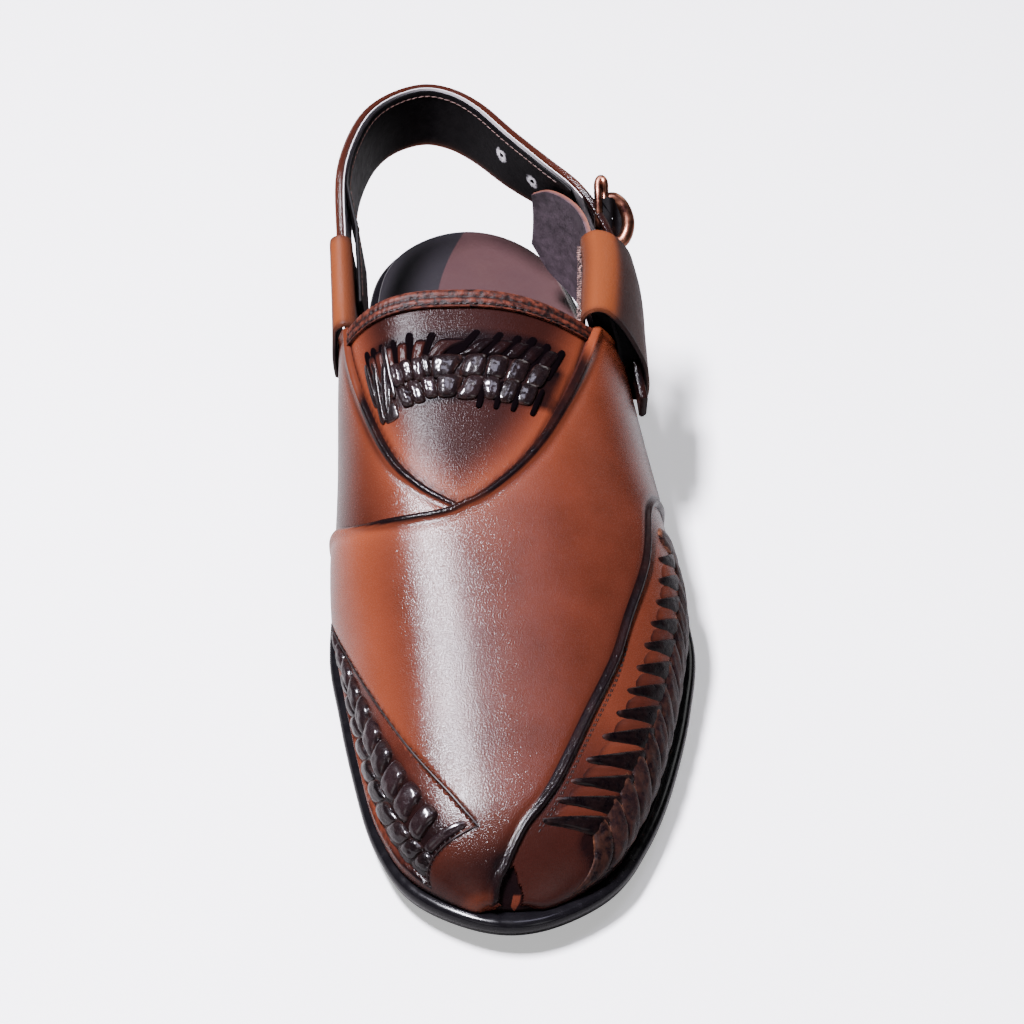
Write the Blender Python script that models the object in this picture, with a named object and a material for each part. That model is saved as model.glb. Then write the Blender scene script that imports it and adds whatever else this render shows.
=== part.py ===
"""Peshawari chappal, left shoe: a closed-toe sandal of crossing leather bands on a moulded sole.

The shoe stands on its sole on the plane z = 0. +X is the lateral (outer) side, -Y the toe, +Z up, and the
origin lies on the floor under the middle of the sole. Lengths are in millimetres until MM turns them to metres.

Leather pieces are cut as flat slabs and then lasted: a slab's flat coordinates (across, along, depth) are
mapped onto the last, whose shape comes from the tables OUTLINE and SECTIONS.
"""
import math
from bisect import bisect_right
from typing import NamedTuple

import bmesh
import bpy
from mathutils import Matrix, Vector

MM = 0.001

# ---------------------------------------------------------------- driving dimensions, millimetres
SOLE_LENGTH = 290.0
TOE_Y = -SOLE_LENGTH / 2
SOLE_LIP = 5.0            # the upper's feather line lies this far inside the sole's edge
BALL_HALF_WIDTH = 54.0
FOOTPRINT_CENTRE_X = 2.37 # the origin lies under the middle of the sole's width
TOE_CAP = 26.0            # length of the rounded toe end of the upper
CLEARANCE = 0.3           # between pieces that touch
WALL = 1.7                # the upper's inner leather
UNDER_BAND = 1.2          # height of the medial band over the throat panel
TOP_BAND = 2.5            # height of the lateral band over the throat panel
BAND_ROOT = -0.7          # the bands are stitched into the wall to this depth
BRAID_FLOOR = -0.2        # floor of the recess that holds a braid
INSOLE = 3.0
SEAT = 0.4                # the sole's top lies this far below the upper's rim
STRAP = 2.9
LINING = 1.3


class Outline(NamedTuple):
    """Plan of the sole: half width is sqrt(from_toe * from_heel * fullness)."""
    from_toe: float
    fullness: float
    centre_x: float


class Section(NamedTuple):
    """Cross-section of sole and last; a tuck draws the side in below its widest height."""
    from_toe: float
    sole_under: float
    feather: float
    crest: float
    crest_x: float
    round_lateral: float
    tuck_lateral: float
    round_medial: float
    tuck_medial: float


OUTLINE = (
    Outline(0, 0.180, -2.6),
    Outline(12, 0.212, -2.4),
    Outline(30, 0.184, -1.6),
    Outline(56, 0.160, 0.4),
    Outline(85, 0.152, 2.0),
    Outline(110, 0.150, 2.4),
    Outline(150, 0.117, 1.6),
    Outline(190, 0.094, 1.2),
    Outline(225, 0.093, -0.6),
    Outline(255, 0.125, -3.6),
    Outline(278, 0.172, -4.5),
    Outline(290, 0.185, -4.5),
)

SECTIONS = (
    Section(0, 5.2, 12.6, 18.0, -4.0, 2.2, 0.5, 2.2, 0.5),
    Section(12, 4.0, 11.8, 24.5, -5.0, 2.2, 1.0, 2.2, 1.0),
    Section(30, 2.2, 10.8, 31.0, -6.0, 2.2, 2.0, 2.2, 2.0),
    Section(56, 0.6, 9.8, 39.0, -8.0, 2.2, 3.0, 2.2, 3.0),
    Section(85, 0.0, 9.4, 49.0, -10.0, 2.2, 3.0, 2.25, 4.0),
    Section(117, 0.0, 9.8, 61.5, -12.0, 2.3, 3.4, 2.4, 6.0),
    Section(150, 3.2, 12.6, 75.0, -12.0, 2.3, 2.2, 2.9, 8.0),
    Section(180, 6.6, 16.5, 88.0, -11.0, 2.35, 2.2, 3.6, 12.0),
    Section(210, 9.0, 21.5, 98.0, -10.0, 2.5, 4.0, 3.6, 15.0),
    Section(240, 10.0, 25.0, 106.0, -8.0, 2.6, 8.0, 3.4, 15.0),
    Section(290, 10.0, 26.6, 116.0, -4.5, 2.6, 5.0, 3.3, 12.0),
)


def smooth(table, column, x, key=0):
    """Value of a table's column at x, on a smooth curve through its rows."""
    xs = [row[key] for row in table]
    ys = [row[column] for row in table]
    x = min(max(x, xs[0]), xs[-1])
    i = min(max(bisect_right(xs, x) - 1, 0), len(xs) - 2)

    def slope(k):
        low, high = max(k - 1, 0), min(k + 1, len(xs) - 1)
        return (ys[high] - ys[low]) / (xs[high] - xs[low])

    run = xs[i + 1] - xs[i]
    t = (x - xs[i]) / run
    return ((2 * t**3 - 3 * t**2 + 1) * ys[i] + (t**3 - 2 * t**2 + t) * run * slope(i)
            + (3 * t**2 - 2 * t**3) * ys[i + 1] + (t**3 - t**2) * run * slope(i + 1))


def straight(rows, x):
    """Linear value at x between rows of (x, value)."""
    x = min(max(x, rows[0][0]), rows[-1][0])
    i = min(max(bisect_right([row[0] for row in rows], x) - 1, 0), len(rows) - 2)
    (x0, y0), (x1, y1) = rows[i], rows[i + 1]
    return y0 + (y1 - y0) * (x - x0) / (x1 - x0)


def section_value(name, s):
    return smooth(SECTIONS, Section._fields.index(name), s)


def half_width(s):
    fullness = smooth(OUTLINE, 1, s)
    return math.sqrt(max(s * (SOLE_LENGTH - s) * fullness, 0.0))


def centre_x(s):
    return smooth(OUTLINE, 2, s)


def curve_point(points, t):
    """Point of a smooth curve through a list of vectors, t from 0 to 1, evenly by point."""
    k = t * (len(points) - 1)
    i = min(int(k), len(points) - 2)
    f = k - i
    p0, p1 = points[max(i - 1, 0)], points[i]
    p2, p3 = points[i + 1], points[min(i + 2, len(points) - 1)]
    return 0.5 * (2 * p1 + (p2 - p0) * f + (2 * p0 - 5 * p1 + 4 * p2 - p3) * f**2
                  + (3 * p1 - p0 - 3 * p2 + p3) * f**3)


# ---------------------------------------------------------------- the last
def last_point(s, angle):
    """Point of the last at s mm from the sole's toe; angle 0 is the lateral feather, pi the medial one."""
    inner = (s - SOLE_LIP) / (SOLE_LENGTH - 2 * SOLE_LIP) * SOLE_LENGTH
    half = half_width(min(max(inner, 0.0), SOLE_LENGTH)) * (1 - SOLE_LIP / BALL_HALF_WIDTH)
    middle = centre_x(inner)
    past_tip = max(s - SOLE_LIP, 0.0)
    onset = math.sqrt(min(past_tip / 12.0, 1.0))
    tuck_lateral = section_value("tuck_lateral", s) * onset
    tuck_medial = section_value("tuck_medial", s) * onset
    lateral = middle + half + tuck_lateral
    medial = middle - half - tuck_medial
    width = lateral - medial
    crest_x = min(max(section_value("crest_x", s), medial + 0.3 * width), lateral - 0.3 * width)
    feather = section_value("feather", s)
    cap = math.sqrt(1 - (1 - min(past_tip / TOE_CAP, 1.0)) ** 2)
    height = (section_value("crest", s) - feather) * cap
    across, up = math.cos(angle), max(math.sin(angle), 0.0)
    if across >= 0:
        power, reach, tuck = 2 / section_value("round_lateral", s), lateral - crest_x, tuck_lateral
    else:
        power, reach, tuck = 2 / section_value("round_medial", s), medial - crest_x, -tuck_medial
    rise = up ** power
    x = crest_x + reach * abs(across) ** power - tuck * (1 - rise) ** 2
    return Vector((x, TOE_Y + s, feather + height * rise))


RIM_TURN = math.radians(20)   # over this angle the offset turns level, so that the rim sits flat on the sole


def last_normal(s, angle):
    step_s, step_a = 0.4, 0.012
    s0, s1 = max(s - step_s, SOLE_LIP + 0.0001), s + step_s
    a0, a1 = max(angle - step_a, 0.0), min(angle + step_a, math.pi)
    along = last_point(s1, angle) - last_point(s0, angle)
    around = last_point(s, a1) - last_point(s, a0)
    normal = along.cross(around).normalized()
    if normal.z < 0:
        normal.z *= min(min(angle, math.pi - angle) / RIM_TURN, 1.0)
    return normal.normalized()


def lasted(s, degrees, level):
    """Point over the last: level is its height above the upper's inner leather."""
    angle = math.radians(degrees)
    return last_point(s, angle) + last_normal(s, angle) * level


def side_angle(s, z, lateral):
    """Angle at which the last's side has height z."""
    feather = section_value("feather", s)
    share = min(max((z - feather) / (section_value("crest", s) - feather), 0.0), 1.0)
    if lateral:
        return math.degrees(math.asin(share ** (section_value("round_lateral", s) / 2)))
    return 180 - math.degrees(math.asin(share ** (section_value("round_medial", s) / 2)))


# ---------------------------------------------------------------- making objects
def principled(name, colour, roughness, metallic=0.0):
    material = bpy.data.materials.new(name)
    material.use_nodes = True
    shader = material.node_tree.nodes["Principled BSDF"]
    shader.inputs["Base Color"].default_value = (*colour, 1.0)
    shader.inputs["Roughness"].default_value = roughness
    shader.inputs["Metallic"].default_value = metallic
    return material


def finish(bm, name, material, sharp=35.0):
    """Weld, point the faces outwards, scale to metres and link as an object."""
    bmesh.ops.remove_doubles(bm, verts=bm.verts, dist=0.002)
    bmesh.ops.dissolve_degenerate(bm, dist=0.001, edges=bm.edges)
    bmesh.ops.recalc_face_normals(bm, faces=bm.faces)
    bmesh.ops.translate(bm, vec=(-FOOTPRINT_CENTRE_X, 0, 0), verts=bm.verts)
    bmesh.ops.scale(bm, vec=(MM, MM, MM), verts=bm.verts)
    mesh = bpy.data.meshes.new(name)
    bm.to_mesh(mesh)
    bm.free()
    mesh.shade_smooth()
    mesh.set_sharp_from_angle(angle=math.radians(sharp))
    mesh.materials.append(material)
    item = bpy.data.objects.new(name, mesh)
    bpy.context.collection.objects.link(item)
    return item


def flat_slab(columns, rows):
    """Flat slab of leather: x and y run 0 to 1 across and along, z is 0 on the flesh side and 1 on the grain."""
    bm = bmesh.new()
    bmesh.ops.create_grid(bm, x_segments=columns, y_segments=rows, size=0.5)
    bmesh.ops.translate(bm, vec=(0.5, 0.5, 0.0), verts=bm.verts)
    extruded = bmesh.ops.extrude_face_region(bm, geom=bm.faces[:], use_keep_orig=True)
    grain = [item for item in extruded["geom"] if isinstance(item, bmesh.types.BMVert)]
    bmesh.ops.translate(bm, vec=(0, 0, 1), verts=grain)
    return bm


def last_slab(bm, place):
    """Move every vertex of a flat slab to place(across, along, depth)."""
    for vert in bm.verts:
        vert.co = place(*vert.co)
    return bm


def as_cutter(item):
    item.hide_render = True
    item.display_type = "WIRE"
    return item


def boolean(item, other, operation):
    modifier = item.modifiers.new(other.name, "BOOLEAN")
    modifier.operation = operation
    modifier.solver = "EXACT"
    modifier.object = other


# ---------------------------------------------------------------- sole
class SoleRing(NamedTuple):
    """One line around the sole's side: inset from its edge, and height as a share of its thickness."""
    inset: float
    share: float
    offset: float


SOLE_RINGS = (
    SoleRing(5.0, 0.0, 0.0),
    SoleRing(2.6, 0.0, 0.0),
    SoleRing(1.3, 0.0, 2.2),
    SoleRing(1.2, 1.0, -5.0),
    SoleRing(0.2, 1.0, -3.8),
    SoleRing(0.0, 1.0, -2.2),
    SoleRing(0.9, 1.0, -0.9),
    SoleRing(2.4, 1.0, -SEAT),
    SoleRing(7.5, 1.0, -SEAT),
)
SOLE_STATIONS = 34
HEEL_BREAST = 214.0       # from the toe to the heel block's front face
HEEL_BREAST_RUN = 3.0
GROUND_TOE = 72.0         # the forefoot stands flat on the floor between these stations
GROUND_BALL = 116.0


def sole_under(s):
    """Underside of the sole: toe spring, flat forefoot, arch, and the heel block's flat seat."""
    if GROUND_TOE <= s <= GROUND_BALL or s >= HEEL_BREAST + HEEL_BREAST_RUN:
        return 0.0
    under = max(section_value("sole_under", s), 0.0)
    if s <= HEEL_BREAST:
        return under
    return under * (1 - (s - HEEL_BREAST) / HEEL_BREAST_RUN)


def sole_stations():
    """Stations from toe to heel, close together at the round ends, with the flats and the breast on a line."""
    even = [(1 - math.cos(math.pi * i / SOLE_STATIONS)) / 2 * SOLE_LENGTH for i in range(1, SOLE_STATIONS)]
    fixed = (GROUND_TOE, GROUND_BALL, HEEL_BREAST, HEEL_BREAST + HEEL_BREAST_RUN)
    return sorted([s for s in even if all(abs(s - f) > 2.5 for f in fixed)] + list(fixed))


def edge_point(s, side, inset):
    """Plan point at the given inset from the sole's edge; side is 1 lateral, -1 medial."""
    step = 0.05 if min(s, SOLE_LENGTH - s) < 1.0 else 0.5
    low, high = max(s - step, 0.0), min(s + step, SOLE_LENGTH)
    run = Vector((centre_x(high) + side * half_width(high) - centre_x(low) - side * half_width(low), high - low))
    inward = Vector((-run.y * side, run.x * side)).normalized()
    return Vector((centre_x(s) + side * half_width(s), TOE_Y + s)) + inward * inset


def sole_ring(stations, ring):
    """Vertices of one ring: toe tip, lateral side to the heel tip, and back along the medial side."""
    def at(x, y, s):
        under = sole_under(s)
        top = section_value("feather", y - TOE_Y)
        return Vector((x, y, under + ring.share * (top - under) + ring.offset))

    lateral = [at(*edge_point(s, 1, ring.inset), s) for s in stations]
    medial = [at(*edge_point(s, -1, ring.inset), s) for s in reversed(stations)]
    toe = at(centre_x(0), TOE_Y + ring.inset, 0.0)
    heel = at(centre_x(SOLE_LENGTH), -TOE_Y - ring.inset, SOLE_LENGTH)
    return [toe] + lateral + [heel] + medial


def cap(bm, ring, flip):
    """Close a ring with a ladder of faces from its lateral to its medial side."""
    count = len(ring)
    rungs = [(ring[i], ring[(count - i) % count]) for i in range(count // 2 + 1)]
    for (a, b), (c, d) in zip(rungs, rungs[1:]):
        corners = [a, b, d, c]
        unique = [v for k, v in enumerate(corners) if v not in corners[:k]]
        bm.faces.new(unique[::-1] if flip else unique)


def ringed_solid(rings):
    bm = bmesh.new()
    made = [[bm.verts.new(point) for point in ring] for ring in rings]
    for ring in made:
        for a, b in zip(ring, ring[1:] + ring[:1]):
            bm.edges.new((a, b))
    for lower, upper in zip(made, made[1:]):
        count = len(lower)
        for i in range(count):
            j = (i + 1) % count
            bm.faces.new((lower[i], lower[j], upper[j], upper[i]))
    cap(bm, made[0], True)
    cap(bm, made[-1], False)
    return bm


def make_outsole(material):
    stations = sole_stations()
    return finish(ringed_solid([sole_ring(stations, ring) for ring in SOLE_RINGS]), "outsole", material, 40.0)


# ---------------------------------------------------------------- insole
INSOLE_INSET_FOREFOOT = SOLE_LIP + WALL + 0.8
INSOLE_INSET_HEEL = 3.0
INSOLE_INSET_TOE = 11.0
INSOLE_STATIONS = 26


def insole_inset(s):
    """Narrow inside the upper, and out to the sole's rim behind the quarters."""
    return straight(((0, INSOLE_INSET_TOE), (30, INSOLE_INSET_FOREFOOT), (206, INSOLE_INSET_FOREFOOT), (216, INSOLE_INSET_HEEL),
                     (SOLE_LENGTH, INSOLE_INSET_HEEL)), s)


def make_insole(material):
    stations = [(1 - math.cos(math.pi * i / INSOLE_STATIONS)) / 2 * SOLE_LENGTH for i in range(1, INSOLE_STATIONS)]

    def ring(level, shrink):
        def at(x, y):
            return Vector((x, y, section_value("feather", y - TOE_Y) + level))

        lateral = [at(*edge_point(s, 1, insole_inset(s) + shrink)) for s in stations]
        medial = [at(*edge_point(s, -1, insole_inset(s) + shrink)) for s in reversed(stations)]
        toe = at(centre_x(0), TOE_Y + insole_inset(0) + shrink)
        heel = at(centre_x(SOLE_LENGTH), -TOE_Y - INSOLE_INSET_HEEL - shrink)
        return [toe] + lateral + [heel] + medial

    levels = ((0.0, 0.0), (INSOLE - 0.8, 0.0), (INSOLE, 1.0))
    return finish(ringed_solid([ring(level, shrink) for level, shrink in levels]), "insole", material)


# ---------------------------------------------------------------- upper
class EdgeRow(NamedTuple):
    """Station of a leather edge at an angle around the last, in degrees from the lateral feather."""
    degrees: float
    from_toe: float


QUARTER_EDGE = (          # collar across the throat, and the rear edges of both quarters
    EdgeRow(0, 201), EdgeRow(12, 197), EdgeRow(26, 191), EdgeRow(38, 186), EdgeRow(45, 183.2), EdgeRow(50, 181.4),
    EdgeRow(62, 180.4), EdgeRow(90, 181), EdgeRow(120, 180.4), EdgeRow(136, 181.0), EdgeRow(142, 182.5),
    EdgeRow(150, 187), EdgeRow(162, 194), EdgeRow(172, 199), EdgeRow(180, 202),
)
TOP_BAND_REAR = (         # from the lateral quarter over the throat panel's point to the medial feather
    EdgeRow(0, 202), EdgeRow(12, 198), EdgeRow(26, 192), EdgeRow(38, 187), EdgeRow(45, 185.0), EdgeRow(48, 181),
    EdgeRow(55, 168.4), EdgeRow(65, 151.2), EdgeRow(74, 136.8), EdgeRow(83, 125.6), EdgeRow(92, 117.4),
    EdgeRow(104, 115.6), EdgeRow(123, 117.4), EdgeRow(136, 120.4), EdgeRow(150, 124), EdgeRow(165, 128),
    EdgeRow(180, 131),
)
TOP_BAND_FRONT = (        # forward along the lateral side to the slit in the toe, then round the toe
    EdgeRow(0, 150), EdgeRow(20, 141), EdgeRow(36, 128.2), EdgeRow(41, 108.5), EdgeRow(46, 90.2),
    EdgeRow(49.5, 75.8), EdgeRow(57.5, 56.7), EdgeRow(66.5, 35.5), EdgeRow(72, 28.2), EdgeRow(79, 22.2),
    EdgeRow(84, 16.6), EdgeRow(88, 12.4), EdgeRow(96, 8.6), EdgeRow(106, 6.4), EdgeRow(180, 6.2),
)
UNDER_BAND_REAR = (       # hidden under the top band on the lateral side, then up the medial band's edge
    EdgeRow(0, 200), EdgeRow(45, 182), EdgeRow(48, 178), EdgeRow(55, 165), EdgeRow(74, 133), EdgeRow(88, 116.6),
    EdgeRow(92, 118.4), EdgeRow(102.5, 124.9), EdgeRow(113, 134.8), EdgeRow(126, 154.7), EdgeRow(136, 172),
    EdgeRow(141.5, 184.5), EdgeRow(146, 186.5), EdgeRow(150, 188), EdgeRow(162, 195), EdgeRow(172, 200),
    EdgeRow(180, 203),
)
TOE_TRIM = SOLE_LIP + 0.6     # the bands end this far from the sole's toe
FEATHER_TRIM = 1.2            # degrees of last left bare above the feather line


def wall_place(across, along, depth):
    """The upper's inner leather: over the whole last from the toe to the collar."""
    degrees = 180 * across
    rear = straight(QUARTER_EDGE, degrees)
    s = SOLE_LIP + (1 - along) ** 1.7 * (rear - SOLE_LIP)
    return lasted(max(s, SOLE_LIP + 0.001), degrees, -WALL * (1 - depth))


def band_place(rear_edge, front_edge, top, bottom=BAND_ROOT, first=FEATHER_TRIM, last=180 - FEATHER_TRIM,
               gather=1.5):
    """Mapping of a band that runs between two edges, from its first to its last angle."""
    def place(across, along, depth):
        degrees = first + (last - first) * across
        rear = straight(rear_edge, degrees)
        front = straight(front_edge, degrees)
        s = front + (1 - along) ** gather * (rear - front)
        return lasted(s, degrees, bottom + (top - bottom) * depth)
    return place


TOE_ROUND = (EdgeRow(0, TOE_TRIM), EdgeRow(180, TOE_TRIM))


class BraidRow(NamedTuple):
    """Upper and lower edge of a toe braid at a share of its length from the heel end to the toe end."""
    share: float
    upper_from_toe: float
    upper_degrees: float
    lower_from_toe: float
    lower_degrees: float


MEDIAL_BRAID = (
    BraidRow(0.0, 110, 168, 108, 173),
    BraidRow(0.33, 74.8, 145.5, 73, 172),
    BraidRow(0.60, 47.6, 126.5, 46, 171),
    BraidRow(0.82, 30.3, 110.5, 25, 169),
    BraidRow(1.0, 22.6, 101.5, 14.5, 166),
)
LATERAL_BRAID = (         # its first cell is the smooth tab
    BraidRow(0.0, 127.5, 31, 132.5, 10),
    BraidRow(0.07, 120.5, 33.2, 121.5, 9.5),
    BraidRow(0.35, 92, 36.5, 90, 8),
    BraidRow(0.62, 61.5, 45.5, 58, 8),
    BraidRow(0.83, 38, 58.5, 32, 9),
    BraidRow(1.0, 23.8, 70, 15.0, 11),
)
BRAID_MARGIN = 0.7            # side clearance of a braid in its recess


def braid_place(table, bottom, top, margin=0.0):
    """Mapping of a braid panel: across from its heel end to its toe end, along from its lower to its upper edge."""
    length = 105.0
    height = 22.0

    def place(across, along, depth):
        u = across + (2 * across - 1) * margin / length
        v = along + (2 * along - 1) * margin / height
        inner = min(max(u, 0.0), 1.0)
        upper = (smooth(table, 1, inner), smooth(table, 2, inner))
        lower = (smooth(table, 3, inner), smooth(table, 4, inner))
        s = lower[0] + (upper[0] - lower[0]) * v - (u - inner) * length
        degrees = lower[1] + (upper[1] - lower[1]) * v
        return lasted(s, degrees, bottom + (top - bottom) * depth)
    return place


def make_upper(leather):
    """One hollow leather body: inner wall, medial band, lateral band over it, braid recesses and toe slit."""
    upper = finish(last_slab(flat_slab(26, 20), wall_place), "upper", leather)
    under = finish(last_slab(flat_slab(24, 14), band_place(UNDER_BAND_REAR, TOE_ROUND, UNDER_BAND)),
                   "under_band_slab", leather)
    top = finish(last_slab(flat_slab(28, 12), band_place(TOP_BAND_REAR, TOP_BAND_FRONT, TOP_BAND, first=2.2,
                                                         last=177.8)),
                 "top_band_slab", leather)
    for band in (under, top):
        boolean(upper, as_cutter(band), "UNION")
    for name, table, columns in (("medial_recess", MEDIAL_BRAID, 12), ("lateral_recess", LATERAL_BRAID, 14)):
        recess = finish(last_slab(flat_slab(columns, 3), braid_place(table, BRAID_FLOOR, 5.0, BRAID_MARGIN)),
                        name, leather)
        boolean(upper, as_cutter(recess), "DIFFERENCE")
    slit = finish(last_slab(flat_slab(2, 4), slit_place), "toe_slit", leather)
    boolean(upper, as_cutter(slit), "DIFFERENCE")
    return upper


def slit_place(across, along, depth):
    """The wedge cut out between the two bands at the toe, widest at the sole."""
    s = 13.2 + (5.4 - 13.2) * along
    left = 88.5 + (106 - 88.5) * along
    right = 86.0 + (74 - 86.0) * along
    return lasted(s, left + (right - left) * across, 0.35 + 5.0 * depth)


# ---------------------------------------------------------------- braids
def braided(name, columns, rows, table, place, material, gap=0.16, tab=None):
    """One wall with its strips raised: each cell of the grain side is drawn in and lifted by its height.

    The table gives the heights of a row's cells in turn; a tab is one smooth raised cell across the first column.
    """
    bm = flat_slab(columns, rows)
    grain = [face for face in bm.faces if face.normal.z > 0.5 and face.calc_center_median().z > 0.5]
    cells = {}
    for face in grain:
        centre = face.calc_center_median()
        column, row = int(centre.x * columns), int(centre.y * rows)
        if tab is not None and column == 0:
            cells.setdefault("tab", ([], tab))[0].append(face)
        else:
            cells[column, row] = ([face], table[row][column % len(table[row])])
    for faces, lift in cells.values():
        bmesh.ops.inset_region(bm, faces=faces, thickness=gap / max(columns, rows), use_even_offset=True)
        for vert in {vert for face in faces for vert in face.verts}:
            vert.co.z = 1.0 + lift
    return finish(last_slab(bm, place), name, material, 25.0)


def make_toe_braids(material):
    """Alternating strips: neighbours along and across the braid pass over and under each other."""
    lifts = ((1.3, 0.7), (0.8, 1.5), (1.5, 0.7))
    braided("medial_weave", 12, 3, lifts, braid_place(MEDIAL_BRAID, 0.25, 1.35), material)
    lifts = ((1.3, 0.7), (0.7, 1.4), (1.5, 0.8))
    braided("lateral_weave", 14, 3, lifts, braid_place(LATERAL_BRAID, 0.25, 1.5), material, tab=1.2)


def throat_weave_place(across, along, depth):
    """The braid's arc on the throat panel, from its medial to its lateral end."""
    first = 117.5 + (128.0 - 117.5) * along
    last = 69.2 + (59.0 - 69.2) * along
    belly = 1.6 * 4 * across * (1 - across)
    s = 146.5 + belly + (168.0 - 146.5 - belly) * along
    return lasted(s, first + (last - first) * across, CLEARANCE + 0.8 * depth)


def make_throat_weave(material):
    lifts = ((1.5, 0.6), (0.6, 1.5), (1.3, 0.5))
    braided("throat_weave", 11, 3, lifts, throat_weave_place, material)


# ---------------------------------------------------------------- collar binding
class FoldRow(NamedTuple):
    """Path of a folded strip in the thickness of the collar: distance behind the edge and level."""
    share: float
    behind: float
    level: float


BINDING_PATH = (
    FoldRow(0.0, -4.2, 0.75),
    FoldRow(0.4, 0.0, 0.75),
    FoldRow(0.5, 1.3, -WALL / 2),
    FoldRow(0.6, 0.0, -WALL - 0.75),
    FoldRow(1.0, -4.2, -WALL - 0.75),
)
BINDING = 0.9


def binding_place(across, along, depth):
    """A strip folded over the collar's edge, from the lateral to the medial ear."""
    degrees = 54.0 + (132.0 - 54.0) * across
    edge = straight(QUARTER_EDGE, degrees)
    k = along * (len(BINDING_PATH) - 1)
    i = min(int(k), len(BINDING_PATH) - 2)
    a, b = BINDING_PATH[i], BINDING_PATH[i + 1]
    t = k - i
    behind = a.behind + (b.behind - a.behind) * t
    level = a.level + (b.level - a.level) * t
    ahead, back = BINDING_PATH[max(i - (t == 0), 0)], BINDING_PATH[min(i + 1, len(BINDING_PATH) - 1)]
    normal = Vector((back.level - ahead.level, ahead.behind - back.behind)).normalized()
    outward = (depth - 0.5) * BINDING
    return lasted(edge + behind - normal.x * outward, degrees, level - normal.y * outward)


def make_binding(material):
    return finish(last_slab(flat_slab(20, len(BINDING_PATH) - 1), binding_place), "collar_binding", material)


# ---------------------------------------------------------------- buckle
ROD = 3.1                 # buckle wire
PRONG = 2.4
FRAME_PATH = (            # centre line of the frame, from the rear bar's top round its lower corner
    (35.2, 99.6, 79.6), (38.6, 100.0, 75.2), (41.8, 99.2, 70.2), (44.4, 96.8, 65.0), (45.0, 92.0, 60.4),
    (43.4, 86.0, 55.3), (39.9, 79.8, 51.5), (37.0, 76.4, 52.4), (36.0, 75.6, 58.0), (35.2, 75.6, 64.5),
    (34.4, 75.8, 71.0), (34.2, 77.6, 75.6), (34.0, 84.0, 79.2), (33.8, 91.0, 81.6), (34.0, 96.4, 82.0),
)
PRONG_PATH = (            # from the front bar out through the strap's hole and over the rear bar
    (35.6, 79.0, 68.0), (37.9, 81.2, 68.6), (40.7, 84.0, 69.6), (41.4, 90.5, 71.6), (43.0, 98.0, 74.6),
    (42.4, 102.6, 75.0),
)


def rod_mesh(path, radius, sides, closed):
    """Round wire swept along a path of points."""
    points = [Vector(point) for point in path]
    bm = bmesh.new()
    rings = []
    count = len(points)
    for i, point in enumerate(points):
        before = points[(i - 1) % count] if closed or i else point
        after = points[(i + 1) % count] if closed or i < count - 1 else point
        run = (after - before).normalized()
        side = run.cross(Vector((0.8, 0.1, 0.6))).normalized()
        rise = side.cross(run)
        turns = [2 * math.pi * k / sides for k in range(sides)]
        rings.append([bm.verts.new(point + (side * math.cos(a) + rise * math.sin(a)) * radius) for a in turns])
    pairs = list(zip(rings, rings[1:] + (rings[:1] if closed else [])))
    for ring, following in pairs:
        for k in range(sides):
            n = (k + 1) % sides
            bm.faces.new((ring[k], ring[n], following[n], following[k]))
    if not closed:
        bm.faces.new(rings[0][::-1])
        bm.faces.new(rings[-1])
    return bm


def smooth_path(path, steps, closed):
    """More points along a smooth curve through a path."""
    points = [Vector(point) for point in path]
    if closed:
        around = points[-1:] + points + points[:2]
        total = len(points) * steps
        span = len(around) - 1
        return [curve_point(around, (1 + k / steps) / span) for k in range(total)]
    total = (len(points) - 1) * steps
    return [curve_point(points, k / total) for k in range(total + 1)]


def make_buckle(metal):
    finish(rod_mesh(smooth_path(FRAME_PATH, 2, True), ROD / 2, 8, True), "buckle_frame", metal, 50.0)
    finish(rod_mesh(smooth_path(PRONG_PATH, 2, False), PRONG / 2, 8, False), "buckle_prong", metal, 50.0)


# ---------------------------------------------------------------- sleeves and flap
class Fold(NamedTuple):
    """Cross-section of a folded leather loop at one y: x, z points of its outer face, inner leaf first."""
    y: float
    points: tuple


SLEEVE = 1.5              # leather of the folds and the flap
LATERAL_FOLD = (
    Fold(38, ((25.2, 72.0), (25.5, 77.0), (29.0, 80.0), (33.4, 79.0), (38.2, 73.4), (42.6, 65.4),
              (46.1, 57.0), (47.2, 49.0), (46.6, 43.6), (44.8, 41.6))),
    Fold(50, ((26.2, 73.0), (26.5, 78.2), (30.2, 81.2), (34.8, 80.2), (39.6, 75.2), (43.6, 68.0),
              (46.2, 60.0), (46.8, 51.5), (46.0, 45.0), (44.4, 42.6))),
    Fold(64, ((27.4, 74.0), (27.7, 78.8), (31.4, 81.6), (36.0, 80.6), (40.6, 76.2), (44.4, 70.0),
              (46.3, 62.0), (46.4, 53.5), (45.2, 46.0), (43.4, 43.2))),
    Fold(75, ((27.4, 74.5), (27.6, 79.0), (31.2, 81.8), (36.0, 80.8), (39.8, 77.4), (42.8, 72.6),
              (44.4, 66.4), (44.8, 59.6), (44.0, 53.0), (42.8, 49.6))),
)
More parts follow.
